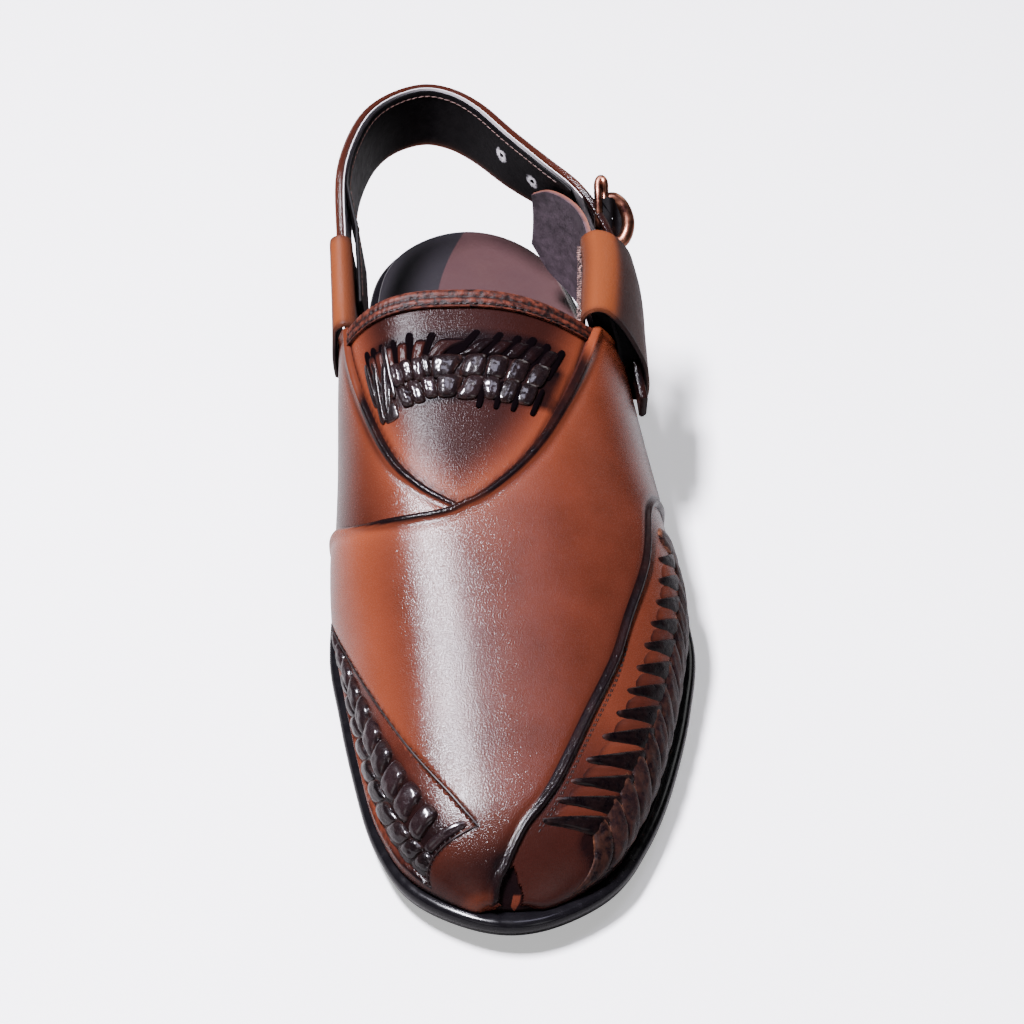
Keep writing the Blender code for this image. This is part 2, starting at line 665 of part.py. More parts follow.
MEDIAL_FOLD = (
    Fold(42, ((-39.5, 54.0), (-40.4, 60.5), (-41.3, 67.0), (-42.5, 71.0), (-46.0, 72.6), (-49.0, 70.4),
              (-49.4, 66.0), (-49.6, 61.0), (-49.4, 56.0), (-48.8, 51.5))),
    Fold(52, ((-39.3, 56.0), (-40.5, 62.5), (-41.7, 69.0), (-42.5, 73.4), (-45.9, 75.2), (-49.1, 73.4),
              (-49.4, 68.0), (-49.4, 62.5), (-49.0, 57.0), (-48.2, 52.0))),
    Fold(74, ((-40.1, 61.0), (-41.3, 68.0), (-42.4, 75.0), (-43.2, 80.6), (-46.4, 82.4), (-49.4, 80.6),
              (-49.6, 75.0), (-49.2, 69.5), (-48.2, 64.0), (-46.8, 58.5))),
)


def fold_point(folds, across, y):
    """Point of the fold's outer face and its outward direction, at a share of the cross-section."""
    sections = []
    for k in range(len(folds[0].points)):
        x = smooth([(fold.y, fold.points[k][0]) for fold in folds], 1, y)
        z = smooth([(fold.y, fold.points[k][1]) for fold in folds], 1, y)
        sections.append(Vector((x, y, z)))
    here = curve_point(sections, across)
    ahead = curve_point(sections, min(across + 0.01, 1)) - curve_point(sections, max(across - 0.01, 0))
    return here, Vector((-ahead.z, 0, ahead.x)).normalized()


def make_fold(name, folds, columns, rows, material, turn=1):
    def place(across, along, depth):
        y = folds[0].y + (folds[-1].y - folds[0].y) * along
        here, out = fold_point(folds, across, y)
        return here - out * turn * SLEEVE * (1 - depth)
    return finish(last_slab(flat_slab(columns, rows), place), name, material)


class FlapRow(NamedTuple):
    """The flap's outer face at one place along it: top edge and how far its bottom stands out."""
    x: float
    y: float
    top: float
    bottom: float
    flare: float


FLAP_PATH = (
    FlapRow(15.0, 107.0, 71.5, 52.0, 0.6),
    FlapRow(19.3, 103.0, 75.6, 44.5, 1.4),
    FlapRow(24.2, 97.0, 77.6, 41.0, 2.2),
    FlapRow(28.4, 89.0, 78.6, 39.0, 2.8),
    FlapRow(30.6, 79.0, 78.8, 37.5, 3.0),
    FlapRow(31.2, 63.0, 78.2, 36.5, 3.4),
    FlapRow(29.7, 50.0, 76.6, 36.5, 4.2),
    FlapRow(28.5, 42.0, 75.0, 37.0, 4.4),
)


def make_flap(material):
    tops = [Vector((row.x, row.y, row.top)) for row in FLAP_PATH]
    lows = [Vector((row.x + row.flare, row.y, row.bottom)) for row in FLAP_PATH]

    def place(across, along, depth):
        top, low = curve_point(tops, across), curve_point(lows, across)
        ahead = curve_point(tops, min(across + 0.01, 1)) - curve_point(tops, max(across - 0.01, 0))
        out = ahead.cross(low - top).normalized()
        out = out if out.x > 0 else -out
        bulge = 4 * along * (1 - along)
        return top + (low - top) * along + out * (0.8 * bulge - SLEEVE * (1 - depth))
    return finish(last_slab(flat_slab(16, 3), place), "lateral_flap", material)


# ---------------------------------------------------------------- heel strap
LINING_END = 0.625        # share of the strap's path
LINING_BEHIND = ((0, 5.6), (0.115, 5.6), (0.16, STRAP + CLEARANCE), (1, STRAP + CLEARANCE))


class StrapRow(NamedTuple):
    """Strap's outer face at its top edge; lean is how far its lower edge stands out, in degrees."""
    x: float
    y: float
    top: float
    width: float
    lean: float


STRAP_PATH = (            # from the end in the medial sleeve round the heel, through the buckle to the free end
    StrapRow(-47.1, 53.5, 71.8, 18.5, -8),
    StrapRow(-47.3, 64, 75.6, 20, -8),
    StrapRow(-47.7, 78, 80.4, 20.5, -8),
    StrapRow(-47.6, 95, 87.5, 21, -6),
    StrapRow(-44.7, 109.5, 90.2, 21.5, -4),
    StrapRow(-38.9, 124, 91.5, 22, -2),
    StrapRow(-30.4, 133.3, 92, 22, 0),
    StrapRow(-19.5, 138.2, 92, 22, 0),
    StrapRow(-9.6, 137.0, 91, 22, 0),
    StrapRow(-0.4, 131.4, 89, 22, 1),
    StrapRow(9.6, 120.4, 86, 21.5, 4),
    StrapRow(19.8, 108.6, 84, 21.5, 12),
    StrapRow(28.4, 99.0, 82.0, 21.5, 20),
    StrapRow(34.5, 89.0, 78.8, 21, 19),
    StrapRow(39.0, 78.0, 74.3, 20, 9),
    StrapRow(42.2, 62.0, 66.6, 17.0, 4),
    StrapRow(43.4, 49.0, 59.5, 12.5, 2),
    StrapRow(44.8, 40.0, 54.6, 7.0, 0),
    StrapRow(46.3, 32.5, 49.8, 7.5, -2),
)


STRAP_TOPS = [Vector((row.x, row.y, row.top)) for row in STRAP_PATH]
STRAP_SHAPE = [Vector((row.width, row.lean, 0)) for row in STRAP_PATH]


def strap_frame(t):
    """Top edge of the outer face at a share of the path, with the directions down the face and out of it."""
    top = curve_point(STRAP_TOPS, t)
    ahead = curve_point(STRAP_TOPS, min(t + 0.004, 1.0)) - curve_point(STRAP_TOPS, max(t - 0.004, 0.0))
    width, lean, _ = curve_point(STRAP_SHAPE, t)
    outward = Vector((-ahead.y, ahead.x, 0)).normalized()
    tilt = math.radians(lean)
    down = Vector((0, 0, -math.cos(tilt))) + outward * math.sin(tilt)
    face = outward * math.cos(tilt) + Vector((0, 0, math.sin(tilt)))
    return top, width, down, face


def make_strap(leather, lining):
    def strap(across, along, depth):
        top, width, down, face = strap_frame(across)
        return top + down * width * along - face * STRAP * (1 - depth)

    def lining_ply(across, along, depth):
        share = LINING_END * across
        top, width, down, face = strap_frame(share)
        behind = straight(LINING_BEHIND, share)
        return top + down * (0.5 + (width - 1.0) * along) - face * (behind + LINING * (1 - depth))

    body = finish(last_slab(flat_slab(58, 2), strap), "heel_strap", leather)
    hole = finish(rod_mesh(PRONG_PATH[:3], PRONG / 2 + 0.5, 8, False), "prong_hole", leather)
    boolean(body, as_cutter(hole), "DIFFERENCE")
    finish(last_slab(flat_slab(40, 2), lining_ply), "strap_lining", lining)


# ---------------------------------------------------------------- build
def clear_scene():
    for item in list(bpy.data.objects):
        bpy.data.objects.remove(item, do_unlink=True)


clear_scene()
BROWN = principled("burnished brown leather", (0.20, 0.055, 0.035), 0.32)
TAN = principled("tan edge leather", (0.42, 0.15, 0.07), 0.4)
BLACK_LEATHER = principled("black braid leather", (0.03, 0.018, 0.02), 0.3)
LINING_LEATHER = principled("black lining leather", (0.02, 0.016, 0.02), 0.5)
SOCK = principled("insole sock", (0.17, 0.08, 0.085), 0.45)
RUBBER = principled("polished black rubber", (0.006, 0.006, 0.007), 0.15)
METAL = principled("antique copper plate", (0.35, 0.17, 0.11), 0.3, 1.0)

make_outsole(RUBBER)
make_insole(SOCK)
make_upper(BROWN)
make_toe_braids(BLACK_LEATHER)
make_throat_weave(BLACK_LEATHER)
make_binding(BROWN)
make_strap(BROWN, LINING_LEATHER)
make_fold("medial_sleeve", MEDIAL_FOLD, 14, 4, TAN, -1)
make_fold("lateral_sleeve", LATERAL_FOLD, 16, 5, TAN)
make_flap(LINING_LEATHER)
make_buckle(METAL)
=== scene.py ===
import math

import bmesh
import bpy
import numpy as np
from mathutils import Matrix, Vector
from mathutils.kdtree import KDTree


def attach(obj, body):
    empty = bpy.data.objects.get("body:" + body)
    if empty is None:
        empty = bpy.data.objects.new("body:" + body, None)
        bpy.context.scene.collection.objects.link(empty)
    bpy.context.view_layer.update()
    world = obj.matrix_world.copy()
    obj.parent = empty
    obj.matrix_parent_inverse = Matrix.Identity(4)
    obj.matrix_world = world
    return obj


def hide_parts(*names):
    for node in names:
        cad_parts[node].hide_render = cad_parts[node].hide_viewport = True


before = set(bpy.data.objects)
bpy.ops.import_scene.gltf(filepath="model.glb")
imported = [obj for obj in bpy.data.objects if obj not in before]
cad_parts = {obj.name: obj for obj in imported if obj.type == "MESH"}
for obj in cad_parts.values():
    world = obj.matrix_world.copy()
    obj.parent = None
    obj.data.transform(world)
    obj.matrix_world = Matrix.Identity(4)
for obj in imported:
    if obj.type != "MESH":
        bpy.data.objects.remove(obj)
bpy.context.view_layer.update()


# ---------------- outsole
# One moulded unit of black rubber with a low heel, an arch, toe spring and a rounded lip all round its top.
# It comes out of the mould satin and is buffed to a gloss; the upper is cemented into the seat inside its lip.
MM = 0.001
SOLE_LENGTH = 290.0
TOE_Y = -SOLE_LENGTH / 2
FOOTPRINT_CENTRE_X = 2.37
OUTLINE = (               # from the toe, fullness, middle line
    (0, 0.180, -2.6), (12, 0.212, -2.4), (30, 0.184, -1.6), (56, 0.160, 0.4), (85, 0.152, 2.0),
    (110, 0.150, 2.4), (150, 0.117, 1.6), (190, 0.094, 1.2), (225, 0.093, -0.6), (255, 0.125, -3.6),
    (278, 0.172, -4.5), (290, 0.185, -4.5),
)
SECTIONS = (              # from the toe: sole's underside, feather, crest, crest's x, roundness and tuck each side
    (0, 5.2, 12.6, 18.0, -4.0, 2.2, 0.5, 2.2, 0.5),
    (12, 4.0, 11.8, 24.5, -5.0, 2.2, 1.0, 2.2, 1.0),
    (30, 2.2, 10.8, 31.0, -6.0, 2.2, 2.0, 2.2, 2.0),
    (56, 0.6, 9.8, 39.0, -8.0, 2.2, 3.0, 2.2, 3.0),
    (85, 0.0, 9.4, 49.0, -10.0, 2.2, 3.0, 2.25, 4.0),
    (117, 0.0, 9.8, 61.5, -12.0, 2.3, 3.4, 2.4, 6.0),
    (150, 3.2, 12.6, 75.0, -12.0, 2.3, 2.2, 2.9, 8.0),
    (180, 6.6, 16.5, 88.0, -11.0, 2.35, 2.2, 3.6, 12.0),
    (210, 9.0, 21.5, 98.0, -10.0, 2.5, 4.0, 3.6, 15.0),
    (240, 10.0, 25.0, 106.0, -8.0, 2.6, 8.0, 3.4, 15.0),
    (290, 10.0, 26.6, 116.0, -4.5, 2.6, 5.0, 3.3, 12.0),
)
UNDER, FEATHER, CREST, CREST_X, ROUND_LATERAL, TUCK_LATERAL, ROUND_MEDIAL, TUCK_MEDIAL = range(1, 9)
HEEL_BREAST = 214.0
BREAST_RUN = 3.0
FLAT = (72.0, 116.0)      # where the forefoot stands on the floor
STATIONS_A_SIDE = 150
SOLE_PROFILE = (          # inset from the edge, share of the thickness, then millimetres up
    (9.0, 0, 0), (5.0, 0, 0), (2.9, 0, 0), (2.1, 0, 0.25), (1.55, 0, 0.9), (1.35, 0, 2.0), (1.3, 0.5, -0.6),
    (1.3, 1, -5.6), (1.2, 1, -5.2), (0.8, 1, -4.8), (0.3, 1, -4.35), (0.05, 1, -3.6), (0.0, 1, -2.9),
    (0.0, 1, -2.3), (0.12, 1, -1.7), (0.45, 1, -1.2), (0.95, 1, -0.8), (1.6, 1, -0.52), (2.4, 1, -0.4),
    (4.5, 1, -0.4), (7.5, 1, -0.4),
)


def table_curve(rows, column, x):
    """Column of a table at x, on a smooth curve through its rows."""
    xs = np.array([row[0] for row in rows], float)
    ys = np.array([row[column] for row in rows], float)
    x = np.clip(x, xs[0], xs[-1])
    i = np.clip(np.searchsorted(xs, x, "right") - 1, 0, len(xs) - 2)
    low = np.maximum(np.arange(len(xs)) - 1, 0)
    high = np.minimum(np.arange(len(xs)) + 1, len(xs) - 1)
    slope = (ys[high] - ys[low]) / (xs[high] - xs[low])
    run = xs[i + 1] - xs[i]
    t = (x - xs[i]) / run
    return ((2 * t**3 - 3 * t**2 + 1) * ys[i] + (t**3 - 2 * t**2 + t) * run * slope[i]
            + (3 * t**2 - 2 * t**3) * ys[i + 1] + (t**3 - t**2) * run * slope[i + 1])


def half_width(s):
    return np.sqrt(np.maximum(s * (SOLE_LENGTH - s) * table_curve(OUTLINE, 1, s), 0.0))


def middle_line(s):
    return table_curve(OUTLINE, 2, s)


def sole_under(s):
    """Underside: toe spring, flat forefoot, arch and the heel block's flat seat."""
    under = np.maximum(table_curve(SECTIONS, UNDER, s), 0.0)
    under = under * (1 - np.clip((s - HEEL_BREAST) / BREAST_RUN, 0, 1))
    return np.where((s >= FLAT[0]) & (s <= FLAT[1]), 0.0, under)


def unit(rows):
    return rows / np.linalg.norm(rows, axis=-1, keepdims=True)


def edge_run(s, side, inset):
    """Plan points along one side of the sole (1 lateral, -1 medial), the inset in from its edge."""
    step = np.where(np.minimum(s, SOLE_LENGTH - s) < 1.0, 0.05, 0.5)
    low, high = np.maximum(s - step, 0.0), np.minimum(s + step, SOLE_LENGTH)
    run = unit(np.stack([middle_line(high) + side * half_width(high) - middle_line(low) - side * half_width(low),
                         high - low], 1))
    inward = np.stack([-run[:, 1], run[:, 0]], 1) * side
    return np.stack([middle_line(s) + side * half_width(s), TOE_Y + s], 1) + inward * inset[:, None]


def around_the_sole(inset, height):
    """One ring of points: the toe's tip, the lateral side to the heel's tip and back along the medial side."""
    turn = np.arange(1, STATIONS_A_SIDE) / STATIONS_A_SIDE * math.pi
    s = (1 - np.cos(turn)) / 2 * SOLE_LENGTH
    toe = np.array([[middle_line(0.0), TOE_Y + inset(0.0)]])
    heel = np.array([[middle_line(SOLE_LENGTH), -TOE_Y - inset(SOLE_LENGTH)]])
    plan = np.concatenate([toe, edge_run(s, 1, inset(s)), heel, edge_run(s, -1, inset(s))[::-1]])
    stations = np.concatenate([[0.0], s, [SOLE_LENGTH], s[::-1]])
    return np.column_stack([plan, height(stations, plan[:, 1] - TOE_Y)])


def moulded(rings):
    """Closed solid through a stack of rings, its two ends filled with a ladder from side to side."""
    count, last = len(rings[0]), len(rings) - 1
    bm = bmesh.new()
    bmesh.ops.create_grid(bm, x_segments=count, y_segments=last, size=0.5)
    place, level = bm.verts.layers.int.new("place"), bm.verts.layers.int.new("level")
    for vert in bm.verts:
        vert[place] = round((vert.co.x + 0.5) * count) % count
        vert[level] = round((vert.co.y + 0.5) * last)
        vert.co = rings[vert[level]][vert[place]]
    bmesh.ops.remove_doubles(bm, verts=bm.verts, dist=0.0001)
    bmesh.ops.holes_fill(bm, edges=[edge for edge in bm.edges if edge.is_boundary], sides=0)
    for end in (0, last):
        rim = {vert[place]: vert for vert in bm.verts if vert[level] == end}
        for k in range(1, count // 2):
            bmesh.ops.connect_vert_pair(bm, verts=[rim[k], rim[count - k]])
    return bm


def placed(name, bm):
    """An object in metres in the model's frame, from a bmesh in millimetres about the last."""
    bmesh.ops.translate(bm, vec=(-FOOTPRINT_CENTRE_X, 0, 0), verts=bm.verts)
    bmesh.ops.scale(bm, vec=(MM, MM, MM), verts=bm.verts)
    mesh = bpy.data.meshes.new(name)
    bm.to_mesh(mesh)
    bm.free()
    made = bpy.data.objects.new(name, mesh)
    bpy.context.scene.collection.objects.link(made)
    return made


def finished(name, bm, material, slot, *nodes, sharp=40.0):
    """Weld a bmesh, turn it outwards, and make it a piece of the shoe that stands for CAD nodes."""
    bmesh.ops.remove_doubles(bm, verts=bm.verts, dist=0.002)
    bmesh.ops.dissolve_degenerate(bm, dist=0.0005, edges=bm.edges)
    bmesh.ops.recalc_face_normals(bm, faces=bm.faces)
    piece = placed(name, bm)
    piece.data.shade_smooth()
    piece.data.set_sharp_from_angle(angle=math.radians(sharp))
    piece.data.materials.append(material)
    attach(piece, "root")
    if nodes:
        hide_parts(*nodes)
    return piece


def linear(code):
    """Linear colour of an sRGB hex code."""
    parts = [int(code[k:k + 2], 16) / 255 for k in (1, 3, 5)]
    return tuple(c / 12.92 if c <= 0.04045 else ((c + 0.055) / 1.055) ** 2.4 for c in parts) + (1.0,)


COLOUR = {"out": 2, "data_type": "RGBA"}       # settings of a mix of colours


def per(size):
    """Scale of a pattern whose coarsest marks are a size in millimetres apart, on coordinates in metres."""
    return 1 / (size * MM)


def surface(name, **fixed):
    """A new material, and the function that adds a node to it; fixed values go straight on the shader's sockets."""
    material = bpy.data.materials.new(name)
    material.use_nodes = True
    tree = material.node_tree
    shader = tree.nodes["Principled BSDF"]
    for socket, value in fixed.items():
        shader.inputs[socket.replace("_", " ")].default_value = value

    def add(kind, links=None, out=0, drives=(), dyes=(), **settings):
        """Add a node and give back one output. links feeds its sockets, by name or number, with values, hex colours
        or outputs; dyes are a ramp's stops; drives names the shader's sockets that the output goes to."""
        node = tree.nodes.new("ShaderNode" + kind)
        for setting, value in settings.items():
            setattr(node, setting, value)
        for socket, value in (links or {}).items():
            if isinstance(value, bpy.types.NodeSocket):
                tree.links.new(value, node.inputs[socket])
            else:
                node.inputs[socket].default_value = linear(value) if isinstance(value, str) else value
        for k, (place, code) in enumerate(dyes):
            node.color_ramp.elements[k].position, node.color_ramp.elements[k].color = place, linear(code)
        for socket in drives:
            tree.links.new(node.outputs[out], shader.inputs[socket])
        return node.outputs[out]
    return material, add


# Buffed black rubber: near black with a wet gloss. Rubbing marks some 4 mm apart and a slow swell of the moulded
# side break the shine.
rubber, add = surface("buffed black rubber", Coat_Weight=0.18, Coat_Roughness=0.06, Specular_IOR_Level=0.12)
where = add("TexCoord", out="Object")
rub = add("TexNoise", {"Vector": where, "Scale": per(3.846), "Detail": 4})
add("ValToRGB", {"Fac": rub}, dyes=((0, "#060507"), (1, "#0e0d0f")), drives=["Base Color"])
add("MapRange", {"Value": rub, "From Min": 0.3, "From Max": 0.7, "To Min": 0.12, "To Max": 0.3}, drives=["Roughness"])
swell = add("TexNoise", {"Vector": where, "Scale": per(16.67), "Detail": 2})
add("Bump", {"Height": swell, "Strength": 0.25, "Distance": 0.0012}, drives=["Normal"])


def sole_height(share, up):
    return lambda s, y: sole_under(s) + share * (table_curve(SECTIONS, FEATHER, y) - sole_under(s)) + up


sole_rings = [around_the_sole(lambda s, inset=inset: inset + 0 * s, sole_height(share, up))
              for inset, share, up in SOLE_PROFILE]
finished("outsole_unit", moulded(sole_rings), rubber, "sole_rubber", "outsole")


# ---------------- insole
# A leather sock over a thin foam bed, mauve-brown and black along its inner side, polished.
# It is glued into the upper, and behind the quarters it reaches out to the sole's lip.
INSOLE = 3.0
STRIPE_AT = (-0.0172, 0.111)      # where the stripe's edge stands at the heel, in metres
STRIPE_LEAN = 0.16
STRIPE_BEND = 5.4


def insole_inset(s):
    return np.interp(s, (0, 30, 206, 216, 290), (11.0, 7.5, 7.5, 3.0, 3.0))


# Polished sock leather: smooth, a little hazy, mauve-brown; black along its inner side past a leaning line, with the
# same gloss.
# Its grain is drawn 0.7 mm wide, coarser than it is, so that it shows.
sock, add = surface("polished sock leather", Coat_Weight=0.3, Coat_Roughness=0.18)
where = add("TexCoord", out="Object")
x, y = [add("SeparateXYZ", {"Vector": where}, out=axis) for axis in "XY"]
along = add("Math", {0: y, 1: STRIPE_AT[1]}, operation="SUBTRACT")
slope = add("Math", {0: along, 1: STRIPE_BEND, 2: STRIPE_LEAN}, operation="MULTIPLY_ADD")
seam_x = add("Math", {0: slope, 1: along, 2: STRIPE_AT[0]}, operation="MULTIPLY_ADD")
beside = add("Math", {0: x, 1: seam_x}, operation="SUBTRACT")
stripe = add("MapRange", {"Value": beside, "From Min": -0.0002, "From Max": 0.0002, "To Min": 1, "To Max": 0})
mottle = add("TexNoise", {"Vector": where, "Scale": per(11.11), "Detail": 5})
tint = add("ValToRGB", {"Fac": mottle}, dyes=((0, "#301d20"), (1, "#3a2524")))
add("Mix", {0: stripe, 6: tint, 7: "#151216"}, drives=["Base Color"], **COLOUR)
grain = add("TexNoise", {"Vector": where, "Scale": per(0.6667), "Detail": 3})
add("MapRange", {"Value": grain, "To Min": 0.3, "To Max": 0.5}, drives=["Roughness"])
add("Bump", {"Height": grain, "Strength": 0.15, "Distance": 0.0001}, drives=["Normal"])

sock_rings = [around_the_sole(lambda s, more=more: insole_inset(s) + more,
                              lambda s, y, up=up: table_curve(SECTIONS, FEATHER, y) + up)
              for up, more in ((0.0, 0.0), (1.9, 0.0), (2.5, 0.2), (2.9, 0.6), (INSOLE, 1.3))]
finished("insole_bed", moulded(sock_rings), sock, "insole_sock", "insole")


# ---------------- upper: wall, medial band, lateral band
# Vegetable-tanned buffalo leather, lasted wet: an inner wall with the throat panel, the medial band stitched over
# it, and the lateral band crossing over both at the vamp. Band edges are turned under, rolled and burnished dark.
SOLE_LIP = 5.0
BALL_HALF_WIDTH = 54.0
TOE_CAP = 26.0
RIM_TURN = math.radians(20)
WALL = 1.7
UNDER_BAND = 1.2
TOP_BAND = 2.5
BAND_ROOT = -0.7
UNDER_TIP = 5.6           # where the bands end at the toe
TOP_TIP = 6.2
BRAID_RUN = 105.0         # a braid's length, for strips that reach past its ends
QUARTER_EDGE = (          # degrees round the last from the lateral feather, and millimetres from the toe
    (0, 201), (12, 197), (26, 191), (38, 186), (45, 183.2), (50, 181.4), (62, 180.4), (90, 181), (120, 180.4),
    (136, 181.0), (142, 182.5), (150, 187), (162, 194), (172, 199), (180, 202),
)
TOP_BAND_REAR = (
    (0, 202), (12, 198), (26, 192), (38, 187), (45, 185.0), (48, 181), (55, 168.4), (65, 151.2), (74, 136.8),
    (83, 125.6), (92, 117.6), (104, 116.0), (123, 118.2), (136, 122.0), (150, 128.6), (165, 134), (180, 138),
)
TOP_BAND_FRONT = (
    (0, 150), (20, 141), (36, 128.2), (41, 108.5), (46, 90.2), (49.5, 75.8), (57.5, 56.7), (66.5, 35.5),
    (72, 28.2), (79, 22.2), (84, 16.6), (88, 12.4), (96, 8.6), (106, 6.4), (180, TOP_TIP),
)
UNDER_BAND_REAR = (
    (0, 200), (45, 182), (48, 178), (55, 165), (74, 133), (88, 116.6), (92, 118.4), (102.5, 124.9),
    (113, 134.8), (126, 154.7), (136, 172), (141.5, 184.5), (146, 186.5), (150, 188), (162, 195), (172, 200),
    (180, 203),
)
TOE_ROUND = ((0, UNDER_TIP), (180, UNDER_TIP))
MEDIAL_BRAID = (          # share, upper edge (from the toe, degrees), lower edge (from the toe, degrees)
    (0.0, 110, 168, 108, 173), (0.33, 74.8, 145.5, 73, 172), (0.60, 47.6, 126.5, 46, 171),
    (0.82, 30.3, 110.5, 25, 169), (1.0, 22.6, 101.5, 14.5, 166),
)
LATERAL_BRAID = (
    (0.0, 127.5, 31, 132.5, 10), (0.07, 120.5, 33.2, 121.5, 9.5), (0.35, 92, 36.5, 90, 8),
    (0.62, 61.5, 45.5, 58, 8), (0.83, 38, 58.5, 32, 9), (1.0, 23.8, 70, 15.0, 11),
)


def last_point(s, angle):
    """Points of the last, s mm from the toe; angle 0 is the lateral feather, pi the medial one."""
    s, angle = np.broadcast_arrays(np.asarray(s, float), np.asarray(angle, float))
    inner = (s - SOLE_LIP) / (SOLE_LENGTH - 2 * SOLE_LIP) * SOLE_LENGTH
    half = half_width(np.clip(inner, 0.0, SOLE_LENGTH)) * (1 - SOLE_LIP / BALL_HALF_WIDTH)
    past_tip = np.maximum(s - SOLE_LIP, 0.0)
    onset = np.sqrt(np.minimum(past_tip / 12.0, 1.0))
    tuck_lateral = table_curve(SECTIONS, TUCK_LATERAL, s) * onset
    tuck_medial = table_curve(SECTIONS, TUCK_MEDIAL, s) * onset
    lateral = middle_line(inner) + half + tuck_lateral
    medial = middle_line(inner) - half - tuck_medial
    width = lateral - medial
    crest_x = np.clip(table_curve(SECTIONS, CREST_X, s), medial + 0.3 * width, lateral - 0.3 * width)
    feather = table_curve(SECTIONS, FEATHER, s)
    cap = np.sqrt(1 - (1 - np.minimum(past_tip / TOE_CAP, 1.0)) ** 2)
    height = (table_curve(SECTIONS, CREST, s) - feather) * cap
    outer = np.cos(angle) >= 0
    power = 2 / np.where(outer, table_curve(SECTIONS, ROUND_LATERAL, s), table_curve(SECTIONS, ROUND_MEDIAL, s))
    reach = np.where(outer, lateral, medial) - crest_x
    tuck = np.where(outer, tuck_lateral, -tuck_medial)
    rise = np.maximum(np.sin(angle), 0.0) ** power
    x = crest_x + reach * np.abs(np.cos(angle)) ** power - tuck * (1 - rise) ** 2
    return np.stack([x, TOE_Y + s, feather + height * rise], -1)


def last_normal(s, angle):
    s, angle = np.broadcast_arrays(np.asarray(s, float), np.asarray(angle, float))
    along = last_point(s + 0.4, angle) - last_point(np.maximum(s - 0.4, SOLE_LIP + 0.0001), angle)
    turn = last_point(s, np.minimum(angle + 0.012, math.pi)) - last_point(s, np.maximum(angle - 0.012, 0.0))
    normal = unit(np.cross(along, turn))
    level = np.clip(np.minimum(angle, math.pi - angle) / RIM_TURN, 0.0, 1.0)
    normal[..., 2] = np.where(normal[..., 2] < 0, normal[..., 2] * level, normal[..., 2])
    return unit(normal)


def lasted(s, degrees, level):
    """Points over the last, at a level above the wall's outer face."""
    angle = np.radians(degrees)
    return last_point(s, angle) + last_normal(s, angle) * np.broadcast_to(level, np.shape(s))[..., None]


def slab(columns, rows, count=1):
    """Flat leather: x and y run 0 to 1, z is 0 on the flesh side and 1 on the grain side. Of more than one, the
    slabs lie on one another, each numbered."""
    bm = bmesh.new()
    number = bm.verts.layers.int.new("strip")
    for k in range(count):
        laid = bmesh.ops.create_grid(bm, x_segments=columns, y_segments=rows, size=0.5,
                                     matrix=Matrix.Translation((0.5, 0.5, 0.0)))
        for vert in laid["verts"]:
            vert[number] = k
    raised = bmesh.ops.extrude_face_region(bm, geom=bm.faces[:], use_keep_orig=True)
    bmesh.ops.translate(bm, vec=(0, 0, 1), verts=[v for v in raised["geom"] if isinstance(v, bmesh.types.BMVert)])
    return bm


def shaped(bm, place):
    """Move a slab's vertices to place(across, along, depth), which gives points and named marks for its finish."""
    flat = np.array([vert.co for vert in bm.verts])
    points, marks = place(flat[:, 0], flat[:, 1], flat[:, 2])
    layers = [(bm.verts.layers.float.new(name), values) for name, values in marks.items()]
    for k, vert in enumerate(bm.verts):
        vert.co = points[k]
        for layer, values in layers:
            vert[layer] = values[k]
    return bm


def edge_line(edge, first=0.0, last=180.0, count=900):
    """Points of a leather edge on the last."""
    degrees = np.linspace(first, last, count)
    return lasted(table_curve(edge, 1, degrees), degrees, 0)


def nearest(points, cloud):
    """For each point, the number of the nearest one of a cloud, and how far off it is."""
    tree = KDTree(len(cloud))
    for k, point in enumerate(cloud):
        tree.insert(point, k)
    tree.balance()
    found = np.array([tree.find(point)[1:] for point in points])
    return found[:, 0].astype(int), found[:, 1]


def braid_edges(table, count=120):
    """Upper and lower edges of a braid, then its heel and toe ends, each as (from the toe, degrees)."""
    share = np.linspace(0, 1, count)
    upper, lower = [np.stack([table_curve(table, k, share) for k in pair], 1) for pair in ((1, 2), (3, 4))]
    across = np.linspace(0, 1, 50).reshape(-1, 1)
    return upper, lower, lower[0] + (upper[0] - lower[0]) * across, lower[-1] + (upper[-1] - lower[-1]) * across


def inside(outline, s, degrees):
    """True where (s, degrees) lies inside a closed outline."""
    hit = np.zeros(len(s), bool)
    for (s0, d0), (s1, d1) in zip(outline, np.roll(outline, -1, axis=0)):
        crosses = (d0 > degrees) != (d1 > degrees)
        hit ^= crosses & (s < (s1 - s0) * (degrees - d0) / ((d1 - d0) or 1e-9) + s0)
    return hit


def depth_in_braid(table, s, degrees, points):
    """Signed millimetres from a braid's outline, positive inside it."""
    upper, lower, heel_end, toe_end = braid_edges(table)
    outline = np.concatenate([upper, toe_end[::-1], lower[::-1], heel_end])
    rim = lasted(outline[:, 0], outline[:, 1], 0)
    return nearest(points, rim)[1] * np.where(inside(outline, s, degrees), 1.0, -1.0)


def braid_spread(table):
    """Maps a share along a braid, a share up it and a level to points over the last."""
    def spread(u, v, level):
        inner = np.clip(u, 0.0, 1.0)
        s_up, d_up, s_low, d_low = [table_curve(table, k, inner) for k in range(1, 5)]
        s = s_low + (s_up - s_low) * v - (u - inner) * BRAID_RUN
        return lasted(np.maximum(s, SOLE_LIP + 0.01), d_low + (d_up - d_low) * v, level)
    return spread


def share_in_braid(spread, points):
    """Shares along and up a braid of the points near it, and their distance from its surface."""
    u, v = [grid.ravel() for grid in np.meshgrid(np.linspace(-0.06, 1.06, 190), np.linspace(-0.4, 1.3, 70))]
    which, gap = nearest(points, spread(u, v, 0))
    return u[which], v[which], gap


